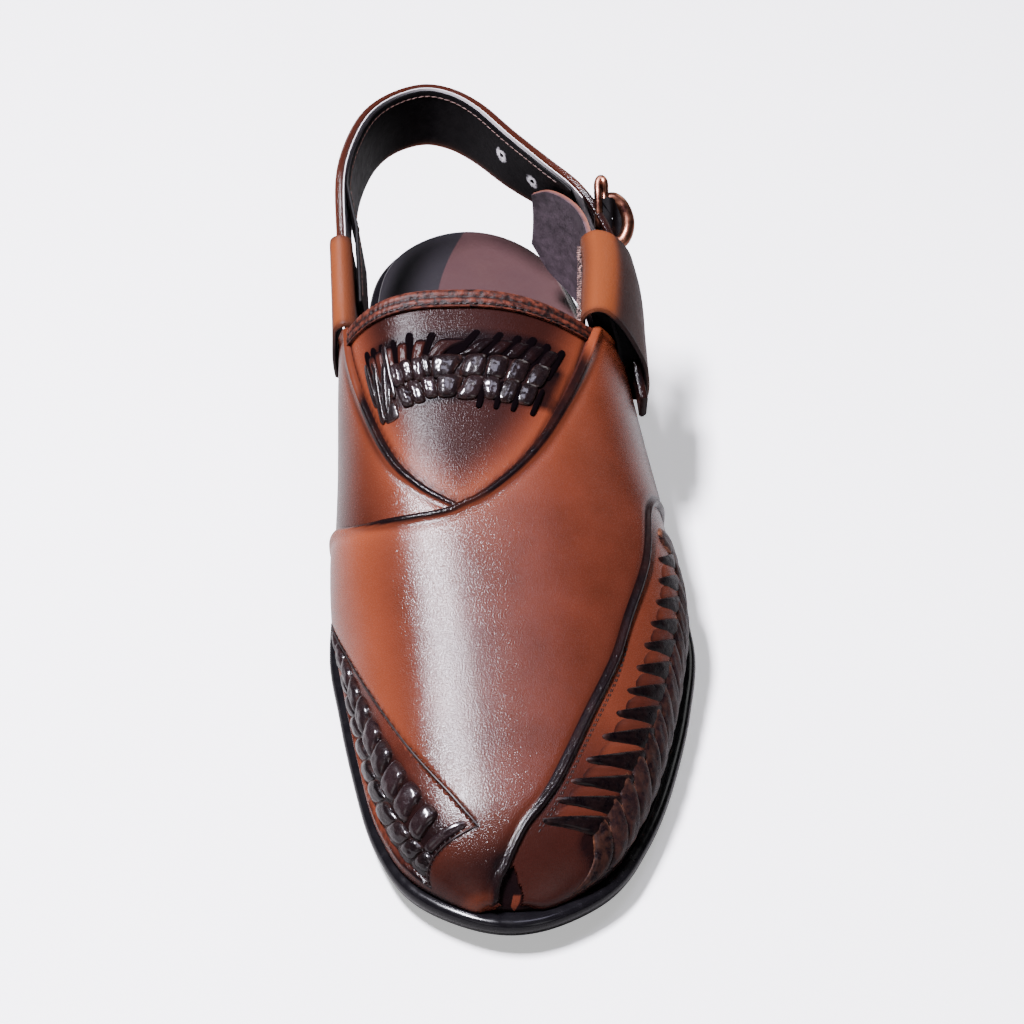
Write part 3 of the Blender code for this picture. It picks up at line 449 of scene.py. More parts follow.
def ease(low, high, x):
    t = np.clip((x - low) / (high - low), 0.0, 1.0)
    return t * t * (3 - 2 * t)


def hump(x, width):
    return np.exp(-(x / width) ** 2)


def rounded(distance_in, radius):
    """How far a face falls at its rounded edge."""
    return radius - np.sqrt(np.maximum(radius**2 - np.maximum(radius - distance_in, 0.0) ** 2, 0.0))


def even_turn(front, rear, first, last):
    """Degrees for a share across a band, so that columns are even along its edges."""
    degrees = np.linspace(first, last, 2000)
    runs = [np.linalg.norm(np.diff(lasted(table_curve(edge, 1, degrees), degrees, 0), axis=0), axis=1)
            for edge in (front, rear)]
    total = np.concatenate([[0.0], np.cumsum(runs[0] + runs[1])])
    return lambda share: np.interp(share, total / total[-1], degrees)


# Burnished leather: brown dye rubbed back to orange near seams, burnished almost black where edges were turned
# and rolled. The same two marks also carry painted light, lighter on a lit flank and on bead ends, and painted
# shade, darker in gaps under the weaves, in slits, at the toe and on the strap's tail. It has a waxy gloss with
# pores that break its highlights into sparkle. Single pores are too fine to show at this distance, so the grain
# is drawn 0.37 mm wide, about the finest that does.
def burnished(name, low, high, wax, shine):
    """Burnished leather between two dyes; wax and shine set how much of the gloss lies in its coat and its grain."""
    material, add = surface(name, Coat_Roughness=0.16, Coat_IOR=1.3, Specular_IOR_Level=shine)
    where = add("TexCoord", out="Object")
    dark, warm, inner = [add("Attribute", out="Fac", attribute_name=mark) for mark in ("burnish", "glow", "flesh")]
    mottle = add("TexNoise", {"Vector": where, "Scale": per(18.18), "Detail": 6, "Roughness": 0.6})
    dye = add("ValToRGB", {"Fac": mottle}, dyes=((0.3, low), (0.7, high)))
    rubbed = add("Mix", {0: warm, 6: dye, 7: "#70351f"}, **COLOUR)
    patchy = add("MapRange", {"Value": mottle, "From Min": 0.3, "From Max": 0.7, "To Min": 0.85, "To Max": 1.1})
    darker = add("Math", {0: dark, 1: patchy}, operation="MULTIPLY", use_clamp=True)
    burnt_and_shaded = add("Mix", {0: darker, 6: rubbed, 7: "#0a0506"}, **COLOUR)
    add("Mix", {0: inner, 6: burnt_and_shaded, 7: "#1a1417"}, drives=["Base Color"], **COLOUR)
    grain = add("TexNoise", {"Vector": where, "Scale": per(0.3704), "Detail": 1})
    add("Bump", {"Height": grain, "Strength": 1, "Distance": 0.0001}, drives=["Normal", "Coat Normal"])
    rough = add("MapRange", {"Value": grain, "From Min": 0.3, "From Max": 0.7, "To Min": 0.2, "To Max": 0.32})
    waxed = add("MapRange", {"Value": dark, "To Min": 1, "To Max": 0.7})
    add("Math", {0: rough, 1: waxed}, drives=["Roughness"], operation="MULTIPLY")
    add("MapRange", {"Value": dark, "To Min": wax, "To Max": 0.4 * wax}, drives=["Coat Weight"])
    return material


crust = burnished("burnished buffalo leather", "#2b110b", "#3d1b13", 0.68, 0.08)
panel = burnished("burnished panel leather", "#2e120d", "#3e1d15", 0.13, 0.04)


def fibrous(name, low, high, size, detail=2, spread=(0, 1), **fixed):
    """Fibres between two shades, for thread and raw edges; real ones are far finer than the size they show at."""
    material, add = surface(name, **fixed)
    fibres = add("TexNoise", {"Vector": add("TexCoord", out="Object"), "Scale": per(size), "Detail": detail})
    add("ValToRGB", {"Fac": fibres}, dyes=tuple(zip(spread, (low, high))), drives=["Base Color"])
    return material


# Waxed black thread, twisted and drawn tight: dark beads with a dull shine.
thread = fibrous("waxed black thread", "#050304", "#1c1110", 1.111, Roughness=0.4, Specular_IOR_Level=0.2)

medial_rim = edge_line(UNDER_BAND_REAR)
lateral_rim = edge_line(TOP_BAND_REAR)
lateral_front = edge_line(TOP_BAND_FRONT, 0, 112)


THROAT_WEAVE = ((146.5, 168.0), (117.5, 128.0), (69.2, 59.0))   # lower, upper edge: from the toe, then end degrees
WEAVE_BELLY = 1.6


def throat_spread(across, along, level):
    """Maps shares of the throat panel's weave to points over the last."""
    s, first, last = [low + (high - low) * along for low, high in THROAT_WEAVE]
    s = s + WEAVE_BELLY * 4 * across * (1 - across) * (1 - along)
    return lasted(s, first + (last - first) * across, level)


TOE_TAB = np.array(((7.4, 84.0), (7.2, 74.0), (5.0, 66.0), (4.8, 84.0)))


def wall(across, along, depth):
    degrees = 180 * across
    rear = table_curve(QUARTER_EDGE, 1, degrees)
    s = np.maximum(SOLE_LIP + (1 - along) ** 1.7 * (rear - SOLE_LIP), SOLE_LIP + 0.001)
    base = lasted(s, degrees, 0)
    near = np.minimum(nearest(base, medial_rim)[1], nearest(base, lateral_rim)[1])
    u, v, gap = share_in_braid(throat_spread, base)
    weave = (gap < 1.5) * ease(-0.04, 0.06, u) * ease(1.05, 0.97, u)
    weave_gap_shade = weave * ease(0.02, 0.12, v) * ease(0.80, 0.70, v)
    above = weave * ease(0.65, 0.75, v) * ease(1.12, 0.95, v)
    middle = ease(2, 14, near) * (s > 100)
    tab = inside(TOE_TAB, s, degrees)
    # Dark along the bands' edges, under the weave's upper row and in the panel's middle; painted shade in the gaps
    # under the weave's strips and, in the marks below, at the toe.
    burnish = 0.95 * hump(near, 1.3) + 0.95 * weave_gap_shade + 0.35 * above + 0.75 * middle
    marks = {
        "burnish": np.clip(burnish + ease(24, 16, s), 0, 1) * (depth > 0.5) * ~tab,
        "glow": np.maximum(0.8 * np.exp(-near / 4.5), 0.1 * tab),
        "flesh": 1.0 - depth,
    }
    return lasted(s, degrees, -WALL * (1 - depth)), marks


finished("throat_panel_wall", shaped(slab(150, 120), wall), panel, "upper_leather", "upper")


def band(rear_edge, front_edge, top, first, last, level_and_marks):
    """Place of a band between two edges; level_and_marks finishes its grain side."""
    turn = even_turn(front_edge, rear_edge, first, last)

    def place(across, along, depth):
        degrees = turn(across)
        rear, front = table_curve(rear_edge, 1, degrees), table_curve(front_edge, 1, degrees)
        share = 0.4 * along + 0.6 * ease(0, 1, along)
        s = rear + (front - rear) * share
        base = lasted(s, degrees, 0)
        level, marks = level_and_marks(s, degrees, base, top)
        grain = depth > 0.5
        marks = {name: np.where(grain, np.clip(values, 0, 1), 0.0) for name, values in marks.items()}
        marks["flesh"] = 1.0 - depth
        return lasted(s, degrees, np.where(grain, np.maximum(level, BAND_ROOT + 0.05), BAND_ROOT)), marks
    return place


def rolled(d, height=0.55, width=1.5):
    """Bead along a turned and rolled edge."""
    return height * hump(d - width, 0.75 * width) - 0.25 * hump(d - 2.6 * width, width)


TOE_SLIT = np.array(((14.0, 90.0), (5.4, 112), (4.8, 112), (4.8, 62), (6.0, 66), (7.4, 73), (9.6, 80.5), (12.6, 84.5)))


def medial_band(s, degrees, base, top):
    rear, front = nearest(base, medial_rim)[1], s - UNDER_TIP
    weave = depth_in_braid(LATERAL_BRAID, s, degrees, base)
    u, v, gap = share_in_braid(braid_spread(LATERAL_BRAID), base)
    slit = inside(TOE_SLIT, s, degrees)
    level = top + rolled(rear, 0.5, 1.3) - rounded(rear, 1.4) - rounded(front, 1.2)
    level = level - 0.5 * ease(-0.4, 0.9, weave) * ease(0.75, 0.55, v)
    level = np.where(slit, -0.6, level)
    toe = ease(62, 20, s) * ease(112, 84, degrees)
    weave_gap_shade = (gap < 2.5) * ease(0.74, 0.55, v) * ease(-0.03, 0.02, u) * ease(1.04, 0.98, u)
    height = share_in_braid(braid_spread(MEDIAL_BRAID), base)[1]
    weave_gap_shade = np.maximum(weave_gap_shade, (depth_in_braid(MEDIAL_BRAID, s, degrees, base) > 0) * ease(0.86, 0.72, height))
    sole = ease(12, 2, np.minimum(degrees, 180 - degrees))
    ends = ease(124, 132, degrees)
    # Burnished dark along the rolled rear edge, darker towards the sole and on the inner quarter; painted shade at the
    # toe, in the gaps under the braid's strips and down the toe slit. At the bead's end by the sleeve the burnish is
    # lifted for a painted highlight.
    burnish = ((1.0 - 0.7 * ends) * ease(2.8, 2.0, rear) + 0.5 * hump(rear - 3.4, 1.1) + 0.62 * toe
               + 0.95 * weave_gap_shade + 0.3 * sole + 1.0 * slit + 0.3 * ease(96, 104, s) * ease(112, 128, degrees))
    # Rubbed orange behind the rear edge; a painted highlight on the bead's end by the sleeve.
    glow = (0.45 * np.exp(-np.maximum(rear - 4, 0) / 9.0) + 0.2 * ease(40, 60, s) * (degrees < 75)
            + 0.4 * ends * ease(5, 2.5, rear))
    return level, {"burnish": burnish, "glow": glow}


def lateral_band(s, degrees, base, top):
    rear, front = nearest(base, lateral_rim)[1], nearest(base, lateral_front)[1]
    toe = s - TOP_TIP
    weave = depth_in_braid(MEDIAL_BRAID, s, degrees, base)
    v = share_in_braid(braid_spread(MEDIAL_BRAID), base)[1]
    level = top + rolled(rear) + rolled(front, 0.4, 1.15) - rounded(rear, 1.6) - rounded(np.minimum(front, toe), 1.4)
    level = level - 1.5 * ease(-0.2, 1.0, weave)
    sole = ease(12, 2, np.minimum(degrees, 180 - degrees)) * (weave < 0)
    weave_gap_shade = (weave > 0) * ease(0.86, 0.72, v) * ease(0.0, 0.12, v)
    black = 0.8 + 2.0 * ease(13, 38, s)
    bead = 0.3 + 0.7 * ease(145, 110, degrees)
    ends = ease(56, 50, degrees)
    # Burnished dark along the rolled edges and the braid's seam, darker towards the sole; painted shade in the gaps
    # under the braid's strips and over the toe. At the rear bead's end by the sleeve the burnish is lifted for a
    # painted highlight.
    burnish = ((1.0 - 0.75 * ends) * ease(3.0, 2.2, rear / bead) + 0.5 * hump(rear / bead - 3.6, 1.2)
               + 0.85 * ease(black + 0.7, black, front) + 0.5 * hump(front - black, 0.5) + 0.5 * np.exp(-front / 5.0)
               + 0.9 * hump(weave + 0.1, 0.4) + 0.9 * weave_gap_shade + 0.3 * sole
               + 0.35 * hump(s - 13.0, 6.5) + 0.4 * ease(36, 14, s))
    # Rubbed orange behind the rear edge and lighter at the toe's tip; painted light on the inner flank, and a painted
    # highlight on the rear bead's end by the sleeve.
    glow = (0.1 + 0.3 * np.exp(-np.maximum(rear - 4, 0) / 8.0) + 0.5 * ease(9.5, 7.5, s)
            + 0.35 * ease(112, 138, degrees) * ease(25, 50, s) + 0.5 * ends * ease(4, 2, rear))
    return level, {"burnish": burnish, "glow": glow}


finished("medial_band", shaped(slab(220, 120), band(UNDER_BAND_REAR, TOE_ROUND, UNDER_BAND, 1.2, 178.8, medial_band)),
         crust, "upper_leather", "upper")
finished("lateral_band", shaped(slab(240, 130), band(TOP_BAND_REAR, TOP_BAND_FRONT, TOP_BAND, 2.2, 177.8,
                                                     lateral_band)), crust, "upper_leather", "upper")


def path_curve(points, t):
    """Points of a smooth curve through rows of points, t from 0 to 1, evenly by row."""
    points = np.asarray(points, float)
    k = np.clip(t, 0, 1) * (len(points) - 1)
    i = np.minimum(k.astype(int), len(points) - 2)
    f = (k - i).reshape(-1, *[1] * (points.ndim - 1))
    p0, p1 = points[np.maximum(i - 1, 0)], points[i]
    p2, p3 = points[i + 1], points[np.minimum(i + 2, len(points) - 1)]
    return 0.5 * (2 * p1 + (p2 - p0) * f + (2 * p0 - 5 * p1 + 4 * p2 - p3) * f**2 + (3 * p1 - p0 - 3 * p2 + p3) * f**3)


def wire(path, radius, closed, columns=220, sides=20):
    """Round wire: a grid rolled into a tube along a smooth path, its ends rounded off unless it is a ring."""
    bm = bmesh.new()
    bmesh.ops.create_grid(bm, x_segments=columns, y_segments=sides, size=0.5)
    flat = np.array([vert.co for vert in bm.verts])
    t, turn = flat[:, 0] + 0.5, (flat[:, 1] + 0.5) * 2 * math.pi
    points = np.array(path)
    if closed:
        points = np.concatenate([points[-1:], points, points[:2]])
        span = len(points) - 1
        share = (1 + t * (span - 2)) / span
        step = 0.002
    else:
        share, step = t, 0.004
    here = path_curve(points, share)
    ahead = unit(path_curve(points, share + step) - path_curve(points, share - step))
    side = unit(np.cross(ahead, (0.8, 0.1, 0.6)))
    rise = np.cross(side, ahead)
    length = np.linalg.norm(np.diff(points, axis=0), axis=1).sum()
    end = np.minimum(t, 1 - t) * length
    size = radius if closed else np.sqrt(np.maximum(radius**2 - np.maximum(radius - end, 0) ** 2, 0))
    size = np.reshape(size * np.ones(len(t)), (-1, 1))
    around = here + (side * np.cos(turn)[:, None] + rise * np.sin(turn)[:, None]) * size
    for vert, point in zip(bm.verts, around):
        vert.co = point
    return bm


def sewn(name, points, normals, spacing, length, thick, turn, material, slot):
    """Stitches along a line over a surface: drawn-out beads of thread, each turned some degrees off the line."""
    ahead = np.gradient(points, axis=0)
    run = np.concatenate([[0.0], np.cumsum(np.linalg.norm(np.diff(points, axis=0), axis=1))])
    bm = bmesh.new()
    for at in np.arange(spacing / 2, run[-1], spacing):
        here, go, up = [Vector([np.interp(at, run, table[:, k]) for k in range(3)])
                        for table in (points, ahead, normals)]
        up.normalize()
        go = (go - go.project(up)).normalized()
        go = Matrix.Rotation(math.radians(turn), 3, up) @ go
        frame_of = Matrix((go * length / 2, up.cross(go) * thick / 2, up * thick / 2)).transposed().to_4x4()
        bmesh.ops.create_uvsphere(bm, u_segments=6, v_segments=5, radius=1.0,
                                  matrix=Matrix.Translation(here) @ frame_of)
    return finished(name, bm, material, slot)


# The medial band's braid is framed by a corded seam, sewn across with short stitches towards the toe, and the
# lateral band's front edge is followed by a row of stitches in the band below it.
def over_last(s, degrees, level):
    """A line over the last at a level, and the last's normals along it."""
    return lasted(s, degrees, level), last_normal(s, np.radians(degrees))


upper_edge, _, _, toe_end = braid_edges(MEDIAL_BRAID)
cord, cord_up = over_last(*np.concatenate([upper_edge, toe_end[::-1]]).T, TOP_BAND + 0.02)
finished("medial_seam_cord", wire(cord, 0.26, False, 260, 8), thread, "weave_leather")
sewn("medial_seam_stitches", cord[70:], cord_up[70:], 1.7, 2.2, 0.3, 62, thread, "weave_leather")
row_turn = np.linspace(47, 74, 80)
for row, behind in (("inner", 3.4), ("outer", 5.0)):
    sewn("toe_row_" + row, *over_last(table_curve(TOP_BAND_FRONT, 1, row_turn) - behind, row_turn, UNDER_BAND + 0.05),
         1.9, 1.5, 0.32, 0, thread, "weave_leather")


# ---------------- weaves
# Narrow strips of black-dyed goat leather laced by hand through rows of slots in the bands and the throat panel.
# Each strip domes up between two slots, shines on its crown and dives into the leather at its ends; its colour is
# lifted towards the crown as a painted sheen and darkened towards the rims as painted shade.
def strip_leather(name, wax, shine, rim):
    """Goat leather cut in strips and dyed black: waxed crowns that shine, pulled creases some 2 mm apart, and
    rims rubbed down to another colour."""
    material, add = surface(name, Coat_Weight=wax, Coat_Roughness=0.14, Specular_IOR_Level=shine)
    tone, rub = [add("Attribute", out="Fac", attribute_name=mark) for mark in ("tone", "rub")]
    where = add("TexCoord", out="Object")
    creases = add("TexNoise", {"Vector": where, "Scale": per(2.381), "Detail": 5, "Roughness": 0.65})
    black = add("Mix", {0: tone, 6: "#040203", 7: "#170e10"}, **COLOUR)
    rubbed = add("MapRange", {"Value": creases, "From Min": 0.4, "From Max": 0.6})
    patch = add("Math", {0: rubbed, 1: rub}, operation="MULTIPLY", use_clamp=True)
    add("Mix", {0: patch, 6: black, 7: rim}, drives=["Base Color"], **COLOUR)
    add("Bump", {"Height": creases, "Strength": 0.8, "Distance": 0.0006}, drives=["Normal"])
    add("MapRange", {"Value": creases, "From Min": 0.3, "From Max": 0.7, "To Min": 0.22, "To Max": 0.45},
        drives=["Roughness"])
    return material


woven = strip_leather("black-dyed strip leather", 0.75, 0.05, "#2a1814")
worn = strip_leather("worn strip leather", 0.1, 0.05, "#633d2a")
dull = strip_leather("dull strip leather", 0.16, 0.04, "#2a1814")
# The inside of a cut slot, dyed black and left raw: it gives back no light.
slot_edge, _ = surface("raw black slot", Base_Color=linear("#050304"), Roughness=1.0, Specular_IOR_Level=0.0)


def laced(name, lay, spread, material, slot, *nodes, columns=16, rows=14):
    """A weave; each strip has its shares along and up, length, width, slant, rise, base, tone, taper and tilt."""
    lay = np.array(lay, float)
    bm = slab(columns, rows, len(lay))
    number = bm.verts.layers.int["strip"]
    which = np.array([vert[number] for vert in bm.verts])
    wave = np.random.default_rng(len(lay)).uniform(0, 6.28, (len(lay), 3))[which].T

    def place(across, up, depth):
        p, q = 2 * across - 1, 2 * up - 1
        u0, v0, long, wide, slant, rise, base, tone, taper, tilt = lay[which].T
        bow = (1 - 0.16 * np.abs(q) ** 3) * (1 - taper * (1 + q) / 2)
        u = u0 + long / 2 * p * bow + slant * q
        v = v0 + wide / 2 * q * (1 - 0.14 * np.abs(p) ** 3)
        crown = (1 - np.abs(p) ** 3) ** 0.55 * (1 - np.abs(q) ** 3) ** 0.55
        crease = 0.13 * np.sin(5 * p + 3 * q + wave[0]) * np.sin(4 * q - 2 * p + wave[1])
        crease = crease + 0.07 * np.sin(13 * q + 2 * p + wave[2]) * np.sin(6 * p + wave[0])
        crease = crease * np.minimum(rise, 1.2) / 1.2
        level = base + tilt * p + np.where(depth > 0.5, (rise + crease) * crown, -0.8)
        edge = np.maximum(np.abs(p), np.abs(q))
        # Each strip's tone is its own, lifted to the crown as painted sheen; burnish darkens its rims as painted shade.
        marks = {"tone": tone * (0.35 + 0.65 * crown), "rub": 0.1 + 0.9 * ease(0.8, 1.0, edge), "glow": tone,
                 "burnish": 0.5 * (1 - tone) ** 2 + 0.6 * ease(0.6, 1.0, edge), "flesh": 0 * tone}
        return spread(u, v, level), marks
    return finished(name, shaped(bm, place), material, slot, *nodes, sharp=60.0)


# The inner side's weave: one row of plump pads below the seam, a smaller row under it and a third at the sole,
# closed at the toe by a flat strip.
chance = np.random.default_rng(7)
lay = []
for k, u in enumerate((0.05, 0.12, 0.20, 0.29, 0.38, 0.47, 0.56, 0.65, 0.74, 0.84)):
    v = 0.52 + 0.07 * min(k / 4, 1)
    lay.append((u, v, 0.09, 0.42, -0.02, 2.1 + 0.5 * ease(0.3, 0.6, u), 0.9, chance.uniform(0.4, 1), 0.1, -0.15))
for k in range(11):
    u = 0.09 + 0.088 * k
    lay.append((u, 0.10 + 0.18 * u + chance.uniform(-0.02, 0.02), 0.086, 0.32, 0.02, 1.9, 0.8,
                chance.uniform(0, 0.5), -0.1, -0.3))
for k in range(8):
    u = 0.32 + 0.088 * k
    lay.append((u, -0.02 + 0.12 * u, 0.09, 0.26, 0.01, 0.8, 0.7, chance.uniform(0, 0.3), 0.0, 0.1))
lay.append((0.955, 0.66, 0.062, 0.56, 0.0, 0.9, 1.2, 0.7, 0.0, -0.2))
laced("medial_weave_strips", lay, braid_spread(MEDIAL_BRAID), woven, "weave_leather", "medial_weave")

# The outer side's weave: black wedges run in from slots in the band, with teeth of the band's own leather
# between them, and their other ends lie over one another like shingles down to the sole.
wedges, shingles, teeth = [], [], []
for k in range(13):
    u = 0.125 + 0.0725 * k
    wedges.append((u - 0.028, 0.78, (0.066 + 0.001 * k) * chance.uniform(0.92, 1.08), 0.56, 0.034, 0.8, 1.25, 0.0, 0.7,
                   -0.2))
    shingles.append((u - 0.012, 0.31, 0.094, 0.72 + chance.uniform(-0.04, 0.04), -0.045, 1.2, 1.0,
                     chance.uniform(0.3, 1), 0.3, -0.5))
    teeth.append((u + 0.008, 0.78, 0.056, 0.5, 0.034, 0.75, 0.8, chance.uniform(0.05, 0.3), -0.1, 0.1))
laced("lateral_weave_strips", wedges, braid_spread(LATERAL_BRAID), dull, "weave_leather", "lateral_weave")
laced("lateral_weave_shingles", shingles, braid_spread(LATERAL_BRAID), worn, "weave_leather")
laced("lateral_weave_teeth", teeth[:-1], braid_spread(LATERAL_BRAID), panel, "upper_leather")
laced("lateral_weave_tab", [(0.028, 0.55, 0.07, 0.95, 0.0, 0.9, 1.3, 0.9, 0.0, 0.0)], braid_spread(LATERAL_BRAID),
      worn, "weave_leather", columns=24, rows=20)

# The throat panel's weave: slanting black strips above, with the panel's leather puffed up between them, over
# two rows of glossy checks. Puffs and checks grow darker towards the right, away from the light, as painted shade.
lay, puffs = [], []
slots = ((0.05, 0.06, 0.28), (0.11, 0.115, 0.35), (0.18, 0.175, 0.42), (0.27, 0.255, 0.46), (0.376, 0.345, 0.52),
         (0.478, 0.427, 0.60), (0.585, 0.537, 0.67), (0.67, 0.635, 0.70), (0.745, 0.715, 0.69), (0.81, 0.785, 0.66),
         (0.88, 0.86, 0.62), (0.955, 0.94, 0.58))
cuts = []
for top, low, start in slots:
    slim = np.interp(top, (0.2, 0.35, 0.5, 0.8), (0.052, 0.05, 0.03, 0.036))
    cuts.append(((top + low) / 2, (1.03 + start) / 2 + chance.uniform(-0.03, 0.03), slim * chance.uniform(0.85, 1.15),
                 1.12 - start, (top - low) / 2 + 0.008, 0.15, 0.25, 0.0, 0.0, 0.0))
for (a_top, a_low, a), (b_top, b_low, b) in zip(slots, slots[1:]):
    start, u = (a + b) / 2 + 0.02, (a_top + b_top + a_low + b_low) / 4
    # Each puff's tone falls towards the right: painted shade.
    puffs.append((u, (0.98 + start) / 2, 0.07, 0.98 - start, (a_top + b_top - a_low - b_low) / 4 + 0.008,
                  1.0, -0.05, 0.0 - 0.4 * ease(0.3, 0.62, u), 0.0, 0.0))
strands = []
for k in range(6):
    strands.append((0.01 + 0.035 * k, 0.5 + chance.uniform(-0.12, 0.12), 0.062, chance.uniform(0.6, 0.95),
                    chance.uniform(-0.02, 0.06), 0.5, 0.5 + 0.25 * (k % 2), chance.uniform(0, 0.3), 0.25, 0.2))
strands.append((0.09, 0.06, 0.15, 0.26, 0.0, 0.4, 0.3, 0.1, 0.0, 0.1))
checks = (
    (0.53, (0.24, 0.09), (0.315, 0.085), (0.39, 0.075), (0.44, 0.045), (0.51, 0.088), (0.60, 0.082), (0.69, 0.09),
     (0.785, 0.09), (0.885, 0.09)),
    (0.22, (0.255, 0.10), (0.345, 0.095), (0.435, 0.088), (0.52, 0.085), (0.602, 0.078), (0.682, 0.08),
     (0.765, 0.085), (0.86, 0.09)),
)
for v, *row in checks:
    for u, wide in row:
        # The checks sink and darken towards the right; the darkening is painted shade away from the light.
        dim = ease(0.58, 0.8, u)
        lay.append((u, v - 0.12 * (2 * u - 1) ** 2 + 0.06 * u + chance.uniform(-0.02, 0.02), wide,
                    0.35 * chance.uniform(0.94, 1.08), chance.uniform(-0.01, 0.012), 1.2 - 0.4 * dim, 0.4,
                    chance.uniform(0.3, 1) * (1 - 0.6 * dim), 0.0, chance.uniform(-0.2, 0.2)))
for u in (0.642, 0.725, 0.815, 0.925):
    cuts.append((u, 0.14, 0.032, 0.42, 0.004, 0.35, 0.5, 0.0, 0.2, 0.0))
laced("throat_weave_strips", lay, throat_spread, woven, "weave_leather", "throat_weave")
laced("throat_weave_slots", cuts, throat_spread, slot_edge, "weave_leather")
laced("throat_weave_strands", strands, throat_spread, woven, "weave_leather")
laced("throat_weave_puffs", puffs, throat_spread, panel, "upper_leather")


# ---------------- collar binding
# A skived strip of reddish-brown leather folded over the throat panel's raw edge and sewn through with two rows
# of dark thread, the upper one sunk in its crimps; it is rounded where it folds.
BINDING = 0.9
BINDING_TURN = (47.0, 139.0)      # degrees round the last where it starts and ends
BINDING_RUN = 80.0
BINDING_REACH = 4.2               # how far each side comes down from the edge
BINDING_ROWS = (-1.2, -3.3)
FOLD_RADIUS = 1.6
CRIMP = 2.3

# Skived binding leather: thin and dry, its reddish-brown dye broken up in the crimps and dark along the stitches.
binding_leather, add = surface("skived binding leather", Roughness=0.5, Specular_IOR_Level=0.12)
crimp = add("TexNoise", {"Vector": add("TexCoord", out="Object"), "Scale": per(2.0), "Detail": 5, "Roughness": 0.6})
dye = add("ValToRGB", {"Fac": crimp}, dyes=((0.38, "#0e0505"), (0.62, "#4a2116")))
seam = add("Attribute", out="Fac", attribute_name="seam")
add("Mix", {0: seam, 6: dye, 7: "#0a0505"}, drives=["Base Color"], **COLOUR)
add("Bump", {"Height": crimp, "Strength": 0.6, "Distance": 0.0005}, drives=["Normal"])


def binding(across, along, depth):
    degrees = BINDING_TURN[0] + (BINDING_TURN[1] - BINDING_TURN[0]) * across
    edge = table_curve(QUARTER_EDGE, 1, degrees)
    turn = np.clip((along - 0.3) / 0.4, 0, 1) * math.pi
    behind = np.where(along < 0.3, along / 0.3 - 1, np.where(along > 0.7, -(along - 0.7) / 0.3, 0.0)) * BINDING_REACH
    radius = FOLD_RADIUS + (depth - 0.5) * BINDING
    level = -0.85 + radius * np.cos(turn)
    front = (depth > 0.5) * (along < 0.5)
    rows = sum(hump(behind - row, 0.5) for row in BINDING_ROWS)
    crimped = np.sin(across * BINDING_RUN / CRIMP * 2 * math.pi + 0.8 * behind)
    level = level + front * (0.13 * crimped * (0.3 + rows) - 0.3 * rows)
    return lasted(edge + behind + radius * np.sin(turn) * 0.85, degrees, level), {"seam": rows * front}


finished("collar_binding_strip", shaped(slab(160, 40), binding), binding_leather, "binding_leather", "collar_binding")
row_turn = np.linspace(50, 137, 120)
sewn("binding_row_outer", *over_last(table_curve(QUARTER_EDGE, 1, row_turn) + BINDING_ROWS[1], row_turn, 1.05),
     CRIMP, 1.7, 0.45, 12, thread, "binding_leather")


# ---------------- sleeves
# Loops of tan leather folded over at the top and stitched into the quarters: the inner one takes the strap's
# sewn end, the outer one keeps its free end. Their folds carry a painted highlight in light tan and their sides
# painted shade in dark brown; their edges are left raw.
SLEEVE = 1.5
LATERAL_FOLD = (          # y, then points x, z of the outer face from the inner leaf over the fold
    (38, (25.2, 72.0), (25.5, 77.0), (29.0, 80.0), (33.4, 79.0), (38.2, 73.4), (42.6, 65.4), (46.1, 57.0),
     (47.2, 49.0), (46.6, 43.6), (44.8, 41.6)),
    (50, (26.2, 73.0), (26.5, 78.2), (30.2, 81.2), (34.8, 80.2), (39.6, 75.2), (43.6, 68.0), (46.2, 60.0),
     (46.8, 51.5), (46.0, 45.0), (44.4, 42.6)),
    (64, (27.4, 74.0), (27.7, 78.8), (31.4, 81.6), (36.0, 80.6), (40.6, 76.2), (44.4, 70.0), (46.3, 62.0),
     (46.4, 53.5), (45.2, 46.0), (43.4, 43.2)),
    (75, (27.4, 74.5), (27.6, 79.0), (31.2, 81.8), (36.0, 80.8), (39.8, 77.4), (42.8, 72.6), (44.4, 66.4),
     (44.8, 59.6), (44.0, 53.0), (42.8, 49.6)),
)
MEDIAL_FOLD = (
    (42, (-39.5, 54.0), (-40.4, 60.5), (-41.3, 67.0), (-42.5, 71.0), (-46.0, 72.6), (-49.0, 70.4), (-49.4, 66.0),
     (-49.6, 61.0), (-49.4, 56.0), (-48.8, 51.5)),
    (52, (-39.3, 56.0), (-40.5, 62.5), (-41.7, 69.0), (-42.5, 73.4), (-45.9, 75.2), (-49.1, 73.4), (-49.4, 68.0),
     (-49.4, 62.5), (-49.0, 57.0), (-48.2, 52.0)),
    (74, (-40.1, 61.0), (-41.3, 68.0), (-42.4, 75.0), (-43.2, 80.6), (-46.4, 82.4), (-49.4, 80.6), (-49.6, 75.0),
     (-49.2, 69.5), (-48.2, 64.0), (-46.8, 58.5)),
)

